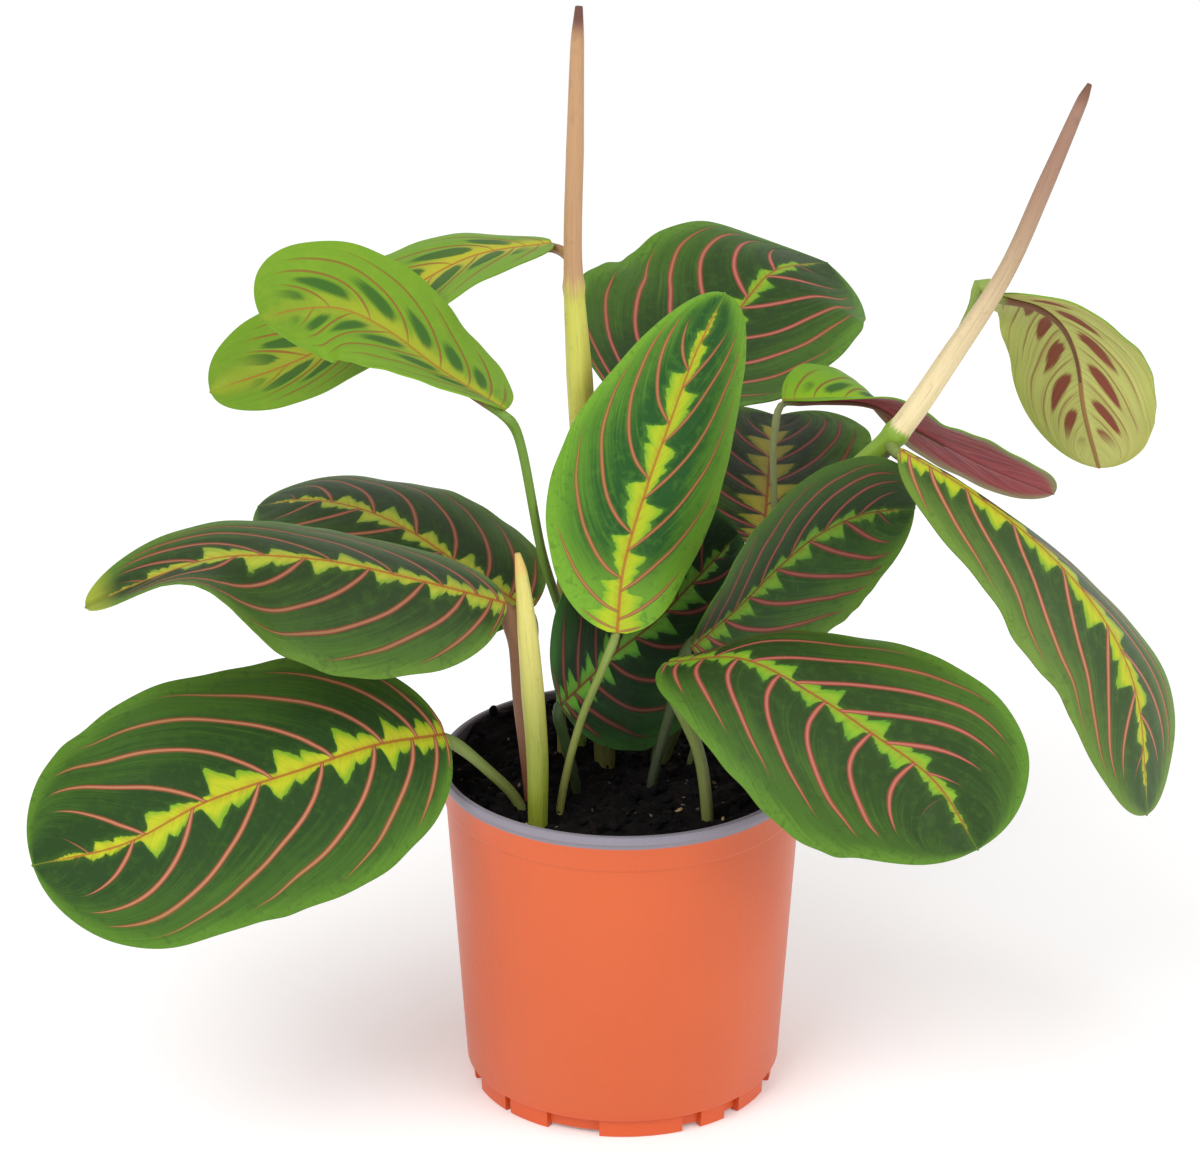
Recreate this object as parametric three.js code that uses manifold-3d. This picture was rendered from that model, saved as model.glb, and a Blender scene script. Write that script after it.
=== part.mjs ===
// Potted prayer plant (maranta) in a thin plastic nursery pot, in millimetres with +Z up.
// Each leaf is a thin blade bent about its rib and fused with its stalk, which stands in a hole in the soil.
import * as THREE from 'three';
import { mergeVertices } from 'three/addons/utils/BufferGeometryUtils.js';
import Module from 'manifold-3d';

const wasm = await Module();
wasm.setup();

// Pot: a 12 cm nursery pot, heights from the surface it stands on, radii at those heights.
const POT_HEIGHT = 113;
const RIM_RADIUS = 60;
const LIP_HEIGHT = 3.2;
const LIP_ROUND = 0.7;
const LIP_WIDTH = 1.1;
const WALL = 1.1;
const WALL_FOOT_RADIUS = 51.6;
const STEP_BELOW_RIM = 12.5;
const STEP_OUT = 0.6;
const WALL_LEAN_OVER_STEP = 0.5;
const FOOT_ROUND = 0.6;
const FOOT_HEIGHT = 7;
const FOOT_RADIUS = 49.5;
const FOOT_RING = 3;
const SKIRT_RADIUS = 47.6;
const SKIRT_CLEAR = 1.5;
const FLOOR_RISE = 0.2;
const CORNER_FILL = 1;
const POT_SEGMENTS = 48;
const DRAIN_RADIUS = 3.2;
const DRAIN_CIRCLE = 32;
const DRAIN_COUNT = 8;
const DRAIN_SIDES = 10;
// Feet under the pot in degrees from its front, positive to the right; the same set stands at the back.
const FOOT_PADS = [[-70, -51], [-48, -30], [-9, 23], [31, 42], [50, 68], [78, 100]];

// Soil: level below the rim, with a low heap towards the back left and small lumps.
const SOIL_LEVEL = 105.5;
const SOIL_HEAP = { x: -24, y: 26, height: 6.5, spread: 20 };
const SOIL_LUMP = 0.7;
const LUMPS = [{ x: 0.47, y: 0.41, turn: 1.3 }, { x: 0.29, y: 0.53 }];
const SOIL_SEGMENTS = 36;
const SOIL_RINGS = 7;

// Gaps kept between pieces that touch, with the sag of the pot's facets, and how deep the stems stand below
// the soil's level.
const GAP = 0.35;
const FACET_SAG = 0.15;
const PLANT_DEPTH = 24;

// Leaf make-up shared by all the blades: thickness, then the outline with its drawn-out tip, in shares of the
// rib's length and of the greatest half width. A greater outline power makes a fuller outline, and a half
// that is slimmer towards its tip narrows from the share SLIM_START on.
const BLADE = 0.8;
const OUTLINE_END = 0.985;
const OUTLINE_POWER = 2.5;
const SLIM_START = 0.3;
const TIP_START = 0.05;
const TIP_WIDTH = 0.07;
const LEAST_WIDTH = 0.02;

// Lateral veins: how they sweep forward and crowd towards the base, the pleat between two of them and the
// wave of the margin, in millimetres, with its turns along the leaf and the width that shifts it by one turn.
const SWEEP = 3.6;
const VEIN_COUNT = 9.3;
const VEIN_SPREAD = 1.9;
const PLEAT = 0.3;
const WAVE = 0.9;
const WAVE_TURNS = 2.5;
const WAVE_SHIFT_WIDTH = 7;

// Stalks run on as a rib under the blade: where the rib's points lie, its seat below the face in shares of
// the stalk's radius, and the share of the radius left at its end.
const STALK_SIDES = 6;
const STEM_SIDES = 8;
const STALK_STEP = 14;
const STALK_END_STEPS = 3;
const RIB_SHARES = [0, 0.06, 0.15, 0.3, 0.45, 0.6];
const RIB_SEAT = 0.25;
const RIB_END = 0.3;

// Meshes are merged within this distance, and smaller turns and shares count as none.
const MERGE = 1e-4;
const SMALL_TURN = 1e-5;
const SMALL_SHARE = 1e-9;

// The blade's mesh: its rows as counts of lateral veins, and its columns from the left margin to the right.
const ROW_PHASES = [0, 0.25, 0.6, 1, 1.5, 2, 2.5, 3, 3.5, 4, 4.5, 5.25, 6, 7, 8, VEIN_COUNT];
const COLUMNS = [-1, -0.72, -0.38, 0, 0.38, 0.72, 1];

// Leaves: rib from the blade's base to its tip, the way the blade faces at base and tip, and for the left
// and right halves the angle they rise from the rib and how far they curl on, in degrees. Where there are
// more than two values, the others belong to places spaced evenly between base and tip. A half may also say
// how slim it is at its tip, and a leaf its own outline power.
// The stalk runs from the soil, or from the cane, to the rib's first point.
const MATURE = 'mature';
const YOUNG = 'young';
const LEAVES = [
  { name: 'leaf_low_left', kind: MATURE, width: 89,
    rib: [[-57, -24, 133], [-79, -37, 135], [-102, -49, 132], [-131, -63, 127.5], [-156, -77, 119.5],
      [-184, -90, 118]],
    faces: [[-0.1, -0.65, 0.76], [-0.1, -0.65, 0.76]],
    left: { fold: [0, -10], curl: [-16, -5], slim: 0.05 },
    right: { fold: [5, 0], curl: [-20, -5], slim: -0.12 },
    stalk: [[-33, -23, 106], [-44, -23, 120]], radius: 1.8 },
  { name: 'leaf_mid_left', kind: MATURE, width: 76,
    rib: [[-37, -20, 177], [-63, -26, 187], [-95, -32, 197], [-126, -37, 200], [-147, -41, 195],
      [-169, -45, 186]],
    faces: [[0, -0.5, 0.85], [0.05, -0.45, 0.87], [0.1, -0.25, 0.95]],
    left: { fold: [-10, -10, -10, -11, -12, -10, 36, 32, 20], curl: [-28, -25, -20, 10, 10], slim: 0.4 },
    right: { fold: [-20, -24, -26, -10, 5], curl: [-30, -22, -18, -15, -10], slim: 0.5 },
    stalk: [[-29.5, -17, 106], [-33, -18, 142], [-35, -19, 166]], radius: 2.6 },
  { name: 'leaf_back_left', kind: MATURE, width: 76,
    rib: [[-30, 16, 159], [-51, 27, 169], [-70, 38, 178], [-86, 47, 182], [-104, 55, 182], [-121, 61, 177]],
    faces: [[0, -0.3, 0.95], [0.15, -0.2, 0.95]],
    left: { fold: [0, 0], curl: [-22, -10] }, right: { fold: [-3, -3], curl: [-15, -35] },
    stalk: [[-28, 0, 106], [-30, 6, 140]], radius: 1.8 },
  { name: 'young_leaf_left', kind: YOUNG, width: 54,
    rib: [[-37, -25, 245], [-57, -14, 254], [-75, -5, 264.5], [-89, -2, 270], [-103, -6, 271],
      [-113, -15, 271]],
    faces: [[0.65, -0.2, 0.72], [0.2, -0.65, 0.72]],
    left: { fold: [18, 15], curl: [0, -10] }, right: { fold: [5, 5], curl: [-20, -5] },
    stalk: [[-13, 16, 106], [-18, 12, 150], [-26, -4, 187], [-34, -20, 236]], radius: 1.5 },
  { name: 'young_leaf_far_left', kind: YOUNG, width: 53,
    rib: [[-23, 55, 272], [-49, 47, 270], [-75, 38, 258], [-100, 30, 243], [-133, 23, 232]],
    faces: [[-0.3, -0.05, 0.95], [-0.2, -0.55, 0.8]],
    left: { fold: [5, 10], curl: [0, 10] }, right: { fold: [0, 15], curl: [-30, 5] },
    stalk: [[-20, 9, 106], [-20, 18, 170], [-15, 17, 225], [-14.5, 24, 252], [-17, 44, 269]], radius: 1.5 },
  { name: 'leaf_top_back', kind: MATURE, width: 86, power: 3,
    rib: [[-3, 59, 218], [15, 83, 219], [36, 105, 227], [51, 124, 237], [70, 141, 234]],
    faces: [[-0.1, -0.7, 0.7], [0.05, -0.3, 0.95]],
    left: { fold: [10, -15], curl: [15, 5] }, right: { fold: [15, 0], curl: [20, 0] },
    stalk: [[-3, 21, 106], [-5, 32, 160], [-5, 48, 200]], radius: 1.8 },
  { name: 'leaf_centre', kind: MATURE, width: 64, power: 1.9,
    rib: [[-2, -26, 169], [0, -17, 187], [8, -10, 214], [15, -5, 233], [23, -2, 255], [32, 1, 274]],
    faces: [[0.2, -0.9, 0.35], [0.55, -0.6, 0.6]],
    left: { fold: [0, 0], curl: [-20, -20], slim: 0.3 },
    right: { fold: [-5, -10], curl: [-35, -30], slim: 0.1 },
    stalk: [[-20.5, -26, 106], [-14, -28, 138], [-6, -29, 160]], radius: 1.3 },
  { name: 'leaf_low_centre', kind: MATURE, width: 76,
    rib: [[-20, -22, 142], [-10, -12, 148], [-3, -2, 151], [10, 8, 158], [24, 21, 168], [38, 35, 178]],
    faces: [[0.3, -0.75, 0.6], [0.1, -0.6, 0.8]],
    left: { fold: [42, 50], curl: [-15, -15] }, right: { fold: [-35, -15], curl: [-25, 0], slim: 0.6 },
    stalk: [[-15, -12, 106], [-19, -17, 128]], radius: 1.7 },
  { name: 'leaf_mid_right', kind: MATURE, width: 70,
    rib: [[22, -4, 154], [37, 3, 165], [50, 10, 176], [63, 16, 185], [78, 22, 190], [95, 27, 190]],
    faces: [[0.65, -0.72, 0.25], [0.1, -0.97, 0.2]],
    left: { fold: [50, 45], curl: [-10, -10] }, right: { fold: [-10, -10], curl: [-20, -5], slim: 0.12 },
    stalk: [[9, -10, 106], [15, -5, 132]], radius: 1.7 },
  { name: 'leaf_low_right', kind: MATURE, width: 84,
    rib: [[14, -25, 159], [38, -37, 165], [61, -46, 156], [78, -53, 146.5], [98, -62, 133.5], [111, -75, 116]],
    faces: [[0.45, -0.25, 0.86], [0.1, -0.96, 0.2]],
    left: { fold: [-10, -5], curl: [-40, -20] }, right: { fold: [5, -5], curl: [-5, -25] },
    stalk: [[27, -31, 106], [24, -25, 127], [15, -22, 148]], radius: 2 },
  { name: 'leaf_far_right', kind: MATURE, width: 66, power: 2.1, onCane: true,
    rib: [[89, 14, 216], [111, 9, 204], [139, 4, 182], [157, -2, 160], [166, -8, 139], [170, -16, 100]],
    faces: [[-0.2, -0.3, 0.93], [0.2, -0.35, 0.91]],
    left: { fold: [-40, -30], curl: [-25, -10] },
    right: { fold: [8, 2, 30], curl: [-12, -15, 5], slim: -0.05 },
    stalk: [[86, 22, 215]], radius: 1.9 },
  { name: 'young_leaf_right', kind: YOUNG, width: 55, onCane: true,
    rib: [[121, 33, 262], [135, 38, 256], [143, 43, 247], [148, 47, 234], [151, 51, 216], [157, 55, 193]],
    faces: [[0.45, 0.65, 0.6], [0.4, 0.85, 0.35]],
    left: { fold: [5, 5], curl: [-10, 10] }, right: { fold: [-5, 0], curl: [-20, 10] },
    stalk: [[96, 23, 230], [104, 32, 240], [111.5, 34, 256], [115, 36, 264]], radius: 1.2 },
  { name: 'young_leaf_centre', kind: YOUNG, width: 45,
    rib: [[52, 45, 221], [66, 49, 220], [81, 53, 217], [95, 58, 207], [118, 60, 193], [143, 62, 181]],
    faces: [[0.3, -0.1, 0.95], [0.28, 0.5, 0.82], [0.2, 0.75, 0.63]],
    left: { fold: [35, 10, 5], curl: [-15, -15] }, right: { fold: [30, 5, 0], curl: [-5, -10] },
    stalk: [[22, 12, 106], [36.5, 21.5, 140], [48.5, 27, 178], [49, 38, 210]], radius: 1.1 },
  { name: 'leaf_shade', kind: MATURE, width: 72,
    rib: [[46, 39, 172], [48, 69, 177], [50, 100, 180], [53, 131, 182]],
    faces: [[0, -0.2, 1], [0, -0.2, 1]],
    left: { fold: [10, 20], curl: [-15, -10] }, right: { fold: [5, 20], curl: [-15, -10] },
    stalk: [[6, 26, 106], [28, 33, 142]], radius: 1.7 },
];

// Bare stems: points from the soil's level to the tip, each with its radius there.
const STEMS = [
  { name: 'stem_tall', colour: '#c9a06a',
    route: [[-6, 7, 106, 3.4], [-8, 9, 160, 3.8], [-12, 8, 210, 4.2], [-14, 5, 245, 4.2], [-16, 2, 285, 2.9],
      [-15.3, 0, 322, 2.8], [-14.5, 0, 357, 2.1], [-14, 0, 368, 1.2]] },
  { name: 'cane_right', colour: '#d8c48a',
    route: [[12, 14, 106, 3.2], [37, 29, 150, 3.3], [64, 31, 190, 3.4], [88, 23, 218, 3.9],
      [106, 23, 246, 3.6], [122, 26, 272, 2.9], [134, 28, 301, 2.7], [145, 31, 328, 1.8],
      [147, 31, 333, 0.8]] },
  { name: 'sheath_front', colour: '#b9b45a',
    route: [[-27.5, -34, 106, 3.1], [-27.5, -33, 128, 3.5], [-28.8, -32, 150, 3.7], [-30.5, -31, 172, 3.2],
      [-32.5, -30, 192, 1.9], [-33.5, -30, 198, 0.9]] },
];

const COLOURS = {
  pot: '#dd6b41',
  soil: '#1d1815',
  [MATURE]: '#3f7a33',
  [YOUNG]: '#84b53a',
};

const vector = ([x, y, z]) => new THREE.Vector3(x, y, z);

// A closed mesh from rings of equal length, with its two ends filled by fans.
function skin(rings) {
  const count = rings[0].length;
  const positions = rings.flat().flatMap((p) => [p.x, p.y, p.z]);
  const ends = [rings[0], rings[rings.length - 1]];
  for (const ring of ends) {
    const middle = ring.reduce((sum, p) => sum.add(p), new THREE.Vector3()).divideScalar(count);
    positions.push(middle.x, middle.y, middle.z);
  }
  const first = rings.length * count;
  const index = [];
  for (let i = 0; i < rings.length - 1; i += 1) {
    for (let j = 0; j < count; j += 1) {
      const next = (j + 1) % count;
      const [a, b, c, d] = [i * count + j, i * count + next, (i + 1) * count + j, (i + 1) * count + next];
      index.push(a, b, d, a, d, c);
    }
  }
  const top = (rings.length - 1) * count;
  for (let j = 0; j < count; j += 1) {
    const next = (j + 1) % count;
    index.push(next, j, first, top + j, top + next, first + 1);
  }
  const geometry = new THREE.BufferGeometry();
  geometry.setAttribute('position', new THREE.Float32BufferAttribute(positions, 3));
  geometry.setIndex(index);
  return geometry;
}

// A round limb along a smooth curve, with a radius given by the share of its length.
function limb(curve, radiusAt, steps, sides = STALK_SIDES) {
  const rings = [];
  let side = null;
  for (let i = 0; i <= steps; i += 1) {
    const u = i / steps;
    const centre = curve.getPointAt(u);
    const along = curve.getTangentAt(u);
    side = side ?? new THREE.Vector3(0, 1, 0).cross(along).normalize();
    side = side.clone().addScaledVector(along, -side.dot(along)).normalize();
    const up = along.clone().cross(side);
    const radius = radiusAt(u);
    rings.push(Array.from({ length: sides }, (_, j) => {
      const angle = (2 * Math.PI * j) / sides;
      return centre.clone()
        .addScaledVector(side, radius * Math.cos(angle))
        .addScaledVector(up, radius * Math.sin(angle));
    }));
  }
  return skin(rings);
}

// Value at share u between stations spaced evenly.
function station(values, u) {
  const place = Math.min(Math.max(u, 0), 1) * (values.length - 1);
  const low = Math.min(Math.floor(place), values.length - 2);
  return THREE.MathUtils.lerp(values[low], values[low + 1], place - low);
}

// A half's outline: share of the greatest half width at share x of the rib, with a small drawn-out tip.
function halfWidth(x, power, slim) {
  const body = Math.sqrt(Math.max(1 - Math.abs((2 * x) / OUTLINE_END - 1) ** power, 0));
  const tip = TIP_WIDTH * THREE.MathUtils.clamp((1 - x) / TIP_START, 0, 1);
  const slimmed = 1 - slim * THREE.MathUtils.smoothstep(x, SLIM_START, 1);
  return Math.max(body * slimmed, tip, LEAST_WIDTH);
}

// A lateral vein leaves the rib at share r and sweeps forward towards the margin.
function alongRib(r, across) {
  return 1 - (1 - r) ** (1 + SWEEP * across ** 3);
}

// The way a blade faces at share x of its rib, square to the rib's direction there.
function facingAt(leaf, along, x) {
  const facing = new THREE.Vector3(...[0, 1, 2].map((k) => station(leaf.faces.map((f) => f[k]), x)));
  return facing.addScaledVector(along, -facing.dot(along)).normalize();
}

// Places a point of the blade: r picks the vein, column runs from -1 at the left margin to 1 at the right.
function bladePoint(leaf, curve, phase, column) {
  const across = Math.abs(column);
  const r = (phase / VEIN_COUNT) ** VEIN_SPREAD;
  const x = THREE.MathUtils.clamp(alongRib(r, across), 0, 1);
  const half = leaf.width / 2;
  const side = column > 0 ? leaf.right : leaf.left;
  const reach = across * half * halfWidth(x, leaf.power ?? OUTLINE_POWER, side.slim ?? 0);
  const centre = curve.getPointAt(x);
  const along = curve.getTangentAt(x);
  const facing = facingAt(leaf, along, x);
  const outward = along.clone().cross(facing).multiplyScalar(Math.sign(column));
  const fold = THREE.MathUtils.degToRad(station(side.fold, x));
  const curl = THREE.MathUtils.degToRad(station(side.curl, x)) / half;
  const bend = Math.abs(curl) < SMALL_TURN ? SMALL_TURN : curl;
  const angle = fold + bend * reach;
  const lateral = (Math.sin(angle) - Math.sin(fold)) / bend;
  const pleat = -PLEAT * Math.cos(2 * Math.PI * phase) * Math.sin(Math.PI * across);
  const turns = WAVE_TURNS * x + leaf.width / WAVE_SHIFT_WIDTH;
  const wave = WAVE * across ** 2 * Math.sin(2 * Math.PI * turns + column);
  const lift = (Math.cos(fold) - Math.cos(angle)) / bend + pleat + wave * Math.sin(Math.PI * x);
  return centre.addScaledVector(outward, lateral).addScaledVector(facing, lift);
}

// Normals of a grid of points, from the differences along and across it.
function gridNormals(grid) {
  const rows = grid.length - 1;
  const columns = grid[0].length - 1;
  return grid.map((row, i) => row.map((_, j) => {
    const down = grid[Math.min(i + 1, rows)][j].clone().sub(grid[Math.max(i - 1, 0)][j]);
    const over = row[Math.min(j + 1, columns)].clone().sub(row[Math.max(j - 1, 0)]);
    return over.cross(down).normalize();
  }));
}

// The blade as a thin closed solid, split into triangles alike on both faces.
function blade(leaf, curve) {
  const grid = ROW_PHASES.map((phase) => COLUMNS.map((column) => bladePoint(leaf, curve, phase, column)));
  const normals = gridNormals(grid);
  const under = grid.map((row, i) => row.map((p, j) => p.clone().addScaledVector(normals[i][j], -BLADE)));
  const rows = grid.length;
  const columns = COLUMNS.length;
  const positions = [...grid, ...under].flat().flatMap((p) => [p.x, p.y, p.z]);
  const offset = rows * columns;
  const index = [];
  for (let i = 0; i < rows - 1; i += 1) {
    for (let j = 0; j < columns - 1; j += 1) {
      const a = i * columns + j;
      const c = a + columns;
      const [b, d] = [a + 1, c + 1];
      index.push(a, d, c, a, b, d);
      index.push(a + offset, c + offset, d + offset, a + offset, d + offset, b + offset);
    }
  }
  const edge = [
    ...Array.from({ length: columns - 1 }, (_, j) => [j + 1, j]),
    ...Array.from({ length: rows - 1 }, (_, i) => [i * columns, (i + 1) * columns]),
    ...Array.from({ length: columns - 1 }, (_, j) => [offset - columns + j, offset - columns + j + 1]),
    ...Array.from({ length: rows - 1 }, (_, i) => [(i + 2) * columns - 1, (i + 1) * columns - 1]),
  ];
  for (const [from, to] of edge) {
    index.push(from, to + offset, from + offset, from, to, to + offset);
  }
  const geometry = new THREE.BufferGeometry();
  geometry.setAttribute('position', new THREE.Float32BufferAttribute(positions, 3));
  geometry.setIndex(index);
  return geometry;
}

function toSolid(geometry) {
  const bare = geometry.clone();
  bare.deleteAttribute('normal');
  bare.deleteAttribute('uv');
  const merged = mergeVertices(bare, MERGE);
  return new wasm.Manifold(new wasm.Mesh({
    numProp: 3,
    vertProperties: new Float32Array(merged.getAttribute('position').array),
    triVerts: new Uint32Array(merged.getIndex().array),
  }));
}

function toGeometry(solid) {
  const { vertProperties, triVerts, numProp } = solid.getMesh();
  const positions = [];
  for (let i = 0; i < vertProperties.length; i += numProp) {
    positions.push(vertProperties[i], vertProperties[i + 1], vertProperties[i + 2]);
  }
  const geometry = new THREE.BufferGeometry();
  geometry.setAttribute('position', new THREE.Float32BufferAttribute(positions, 3));
  geometry.setIndex(Array.from(triVerts));
  geometry.computeVertexNormals();
  return geometry;
}

// The largest connected piece of a solid, without scraps that a cut leaves.
function mainBody(solid) {
  return solid.decompose().reduce((best, piece) => (piece.volume() > best.volume() ? piece : best));
}

// A bare stem, grown by a margin when it is used as a cutter.
function stemSolid(stem, margin = 0) {
  const foot = vector(stem.route[0]);
  const buried = foot.clone().setZ(foot.z - PLANT_DEPTH - margin);
  const points = [buried, ...stem.route.map(vector)];
  const radii = [stem.route[0][3], ...stem.route.map((p) => p[3])];
  const curve = new THREE.CatmullRomCurve3(points);
  const lengths = points.map((_, i) => i / (points.length - 1));
  const steps = points.length * 2;
  return toSolid(limb(curve, (u) => {
    const t = curve.getUtoTmapping(u);
    const place = lengths.findIndex((value) => value >= t - SMALL_SHARE);
    const high = Math.max(place, 1);
    const share = (t - lengths[high - 1]) / (lengths[high] - lengths[high - 1]);
    return THREE.MathUtils.lerp(radii[high - 1], radii[high], share) + margin;
  }, steps, STEM_SIDES));
}

// A leaf's stalk with the raised rib it runs into under the blade.
function stalkSolid(leaf, ribCurve, margin = 0) {
  const points = leaf.stalk.map(vector);
  if (!leaf.onCane) {
    points.unshift(points[0].clone().setZ(points[0].z - PLANT_DEPTH - margin));
  }
  const ribPoints = RIB_SHARES.map((u) => {
    const facing = facingAt(leaf, ribCurve.getTangentAt(u), u);
    return ribCurve.getPointAt(u).addScaledVector(facing, -BLADE - leaf.radius * RIB_SEAT * (1 - u));
  });
  const curve = new THREE.CatmullRomCurve3([...points, ...ribPoints]);
  const stalkShare = 1 - ribCurve.getLength() * RIB_SHARES.at(-1) / curve.getLength();
  const steps = Math.round((curve.getLength() - margin) / STALK_STEP) + STALK_END_STEPS;
  return toSolid(limb(curve, (u) => {
    const taper = u < stalkShare ? 1 : THREE.MathUtils.lerp(1, RIB_END, (u - stalkShare) / (1 - stalkShare));
    return leaf.radius * taper + margin;
  }, steps));
}

function leafSolid(leaf) {
  const ribCurve = new THREE.CatmullRomCurve3(leaf.rib.map(vector));
  const stalk = stalkSolid(leaf, ribCurve);
  return toSolid(blade(leaf, ribCurve)).add(stalk);
}

// Thin pot wall turned about the pot's axis, with its lip, step, bottom plate and skirt.
function potShell() {
  const stepZ = POT_HEIGHT - STEP_BELOW_RIM;
  const lipZ = POT_HEIGHT - LIP_HEIGHT;
  const wallTop = RIM_RADIUS - LIP_WIDTH;
  const wallStep = wallTop - WALL_LEAN_OVER_STEP;
  const potFloor = FOOT_HEIGHT + FLOOR_RISE;
  const profile = [
    [0, FOOT_HEIGHT - WALL], [SKIRT_RADIUS - WALL, FOOT_HEIGHT - WALL], [SKIRT_RADIUS - WALL, SKIRT_CLEAR],
    [SKIRT_RADIUS, SKIRT_CLEAR], [SKIRT_RADIUS, FOOT_HEIGHT - FOOT_ROUND],
    [WALL_FOOT_RADIUS - FOOT_ROUND, FOOT_HEIGHT - FLOOR_RISE], [WALL_FOOT_RADIUS, FOOT_HEIGHT + FOOT_ROUND],
    [wallStep - STEP_OUT, stepZ - STEP_OUT], [wallStep, stepZ],
    [wallTop, lipZ], [RIM_RADIUS, lipZ + LIP_ROUND / 2], [RIM_RADIUS, POT_HEIGHT - LIP_ROUND],
    [RIM_RADIUS - LIP_ROUND, POT_HEIGHT], [wallTop - WALL, POT_HEIGHT - LIP_ROUND / 2],
    [wallStep - STEP_OUT - WALL, stepZ - WALL], [WALL_FOOT_RADIUS - WALL, potFloor + CORNER_FILL],
    [WALL_FOOT_RADIUS - WALL - CORNER_FILL, potFloor], [0, potFloor],
  ];
  const lathe = new THREE.LatheGeometry(profile.map(([r, z]) => new THREE.Vector2(r, z)), POT_SEGMENTS);
  return toSolid(lathe.rotateX(Math.PI / 2));
}

// One foot: a short arc of the foot ring standing on the surface.
function footPad([from, to], turn) {
  const start = THREE.MathUtils.degToRad(from + turn - 90);
  const end = THREE.MathUtils.degToRad(to + turn - 90);
  const outline = new THREE.Shape();
  outline.absarc(0, 0, FOOT_RADIUS, start, end, false);
  outline.absarc(0, 0, FOOT_RADIUS - FOOT_RING, end, start, true);
  const depth = FOOT_HEIGHT - FLOOR_RISE / 2;
  return toSolid(new THREE.ExtrudeGeometry(outline, { depth, bevelEnabled: false, curveSegments: 2 }));
}

function drainHole(x, y) {
  const hole = new THREE.CylinderGeometry(DRAIN_RADIUS, DRAIN_RADIUS, 4 * FOOT_HEIGHT, DRAIN_SIDES);
  return toSolid(hole.rotateX(Math.PI / 2).translate(x, y, 0));
}

function potSolid() {
  let pot = potShell();
  for (const turn of [0, 180]) {
    for (const pad of FOOT_PADS) {
      pot = pot.add(footPad(pad, turn));
    }
  }
  pot = pot.subtract(drainHole(0, 0));
  for (let i = 0; i < DRAIN_COUNT; i += 1) {
    const angle = (2 * Math.PI * (i + 0.5)) / DRAIN_COUNT;
    pot = pot.subtract(drainHole(DRAIN_CIRCLE * Math.cos(angle), DRAIN_CIRCLE * Math.sin(angle)));
  }
  return pot;
}

// Height of the soil: a level bed with a low heap and lumps.
function soilHeight(x, y) {
  const away = (x - SOIL_HEAP.x) ** 2 + (y - SOIL_HEAP.y) ** 2;
  const heap = SOIL_HEAP.height * Math.exp(-away / (2 * SOIL_HEAP.spread ** 2));
  const [broad, cross] = LUMPS;
  const broadLumps = Math.sin(broad.x * x + broad.turn) * Math.cos(broad.y * y);
  const crossLumps = Math.sin(cross.x * x - cross.y * y);
  return SOIL_LEVEL + heap + SOIL_LUMP * (broadLumps + crossLumps);
}

function soilSolid() {
  const bottom = FOOT_HEIGHT + FLOOR_RISE + GAP;
  const innerFoot = WALL_FOOT_RADIUS - WALL - CORNER_FILL - GAP;
  const innerTop = RIM_RADIUS - LIP_WIDTH - WALL_LEAN_OVER_STEP - STEP_OUT - WALL - GAP - FACET_SAG;
  const ring = (radius, height) => Array.from({ length: SOIL_SEGMENTS }, (_, j) => {
    const angle = (2 * Math.PI * j) / SOIL_SEGMENTS;
    const [x, y] = [radius * Math.cos(angle), radius * Math.sin(angle)];
    return new THREE.Vector3(x, y, height ?? soilHeight(x, y));
  });
  const rings = [ring(innerFoot, bottom), ring(innerFoot + CORNER_FILL, bottom + CORNER_FILL)];
  for (let i = 0; i < SOIL_RINGS; i += 1) {
    rings.push(ring(innerTop * (1 - i / SOIL_RINGS)));
  }
  return toSolid(skin(rings));
}

// Build the solids, cut the soil and the two leaf stalks that spring from the cane.
const cane = STEMS.find((stem) => stem.name === 'cane_right');
const caneCutter = stemSolid(cane, GAP);
let soil = soilSolid();
const solids = [];
for (const stem of STEMS) {
  solids.push({ name: stem.name, solid: stemSolid(stem), colour: stem.colour, roughness: 0.6 });
  soil = soil.subtract(stemSolid(stem, GAP));
}
for (const leaf of LEAVES) {
  const whole = leafSolid(leaf);
  const solid = leaf.onCane ? mainBody(whole.subtract(caneCutter)) : whole;
  solids.push({ name: leaf.name, solid, colour: COLOURS[leaf.kind], roughness: 0.5 });
  if (!leaf.onCane) {
    const ribCurve = new THREE.CatmullRomCurve3(leaf.rib.map(vector));
    soil = soil.subtract(stalkSolid(leaf, ribCurve, GAP));
  }
}
solids.push({ name: 'pot', solid: potSolid(), colour: COLOURS.pot, roughness: 0.45 });
solids.push({ name: 'soil', solid: mainBody(soil), colour: COLOURS.soil, roughness: 0.95 });

const plant = new THREE.Group();
for (const { name, solid, colour, roughness } of solids) {
  const material = new THREE.MeshStandardMaterial({ color: colour, roughness, metalness: 0 });
  const mesh = new THREE.Mesh(toGeometry(solid), material);
  mesh.name = name;
  plant.add(mesh);
}

// The whole is moved so that the origin lies under the middle of its box, on the surface it stands on.
const middle = new THREE.Box3().setFromObject(plant).getCenter(new THREE.Vector3());
plant.position.set(-middle.x, -middle.y, 0);

const potted = new THREE.Group();
potted.add(plant);
export default potted;
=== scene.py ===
"""A potted prayer plant: pot, soil, bare stems and fourteen patterned leaves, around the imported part."""

import logging
import math
from contextlib import contextmanager
from dataclasses import dataclass, field, replace
from enum import Enum
from typing import Any, Callable, Iterator

import bpy
import numpy as np
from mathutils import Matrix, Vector, noise


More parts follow.
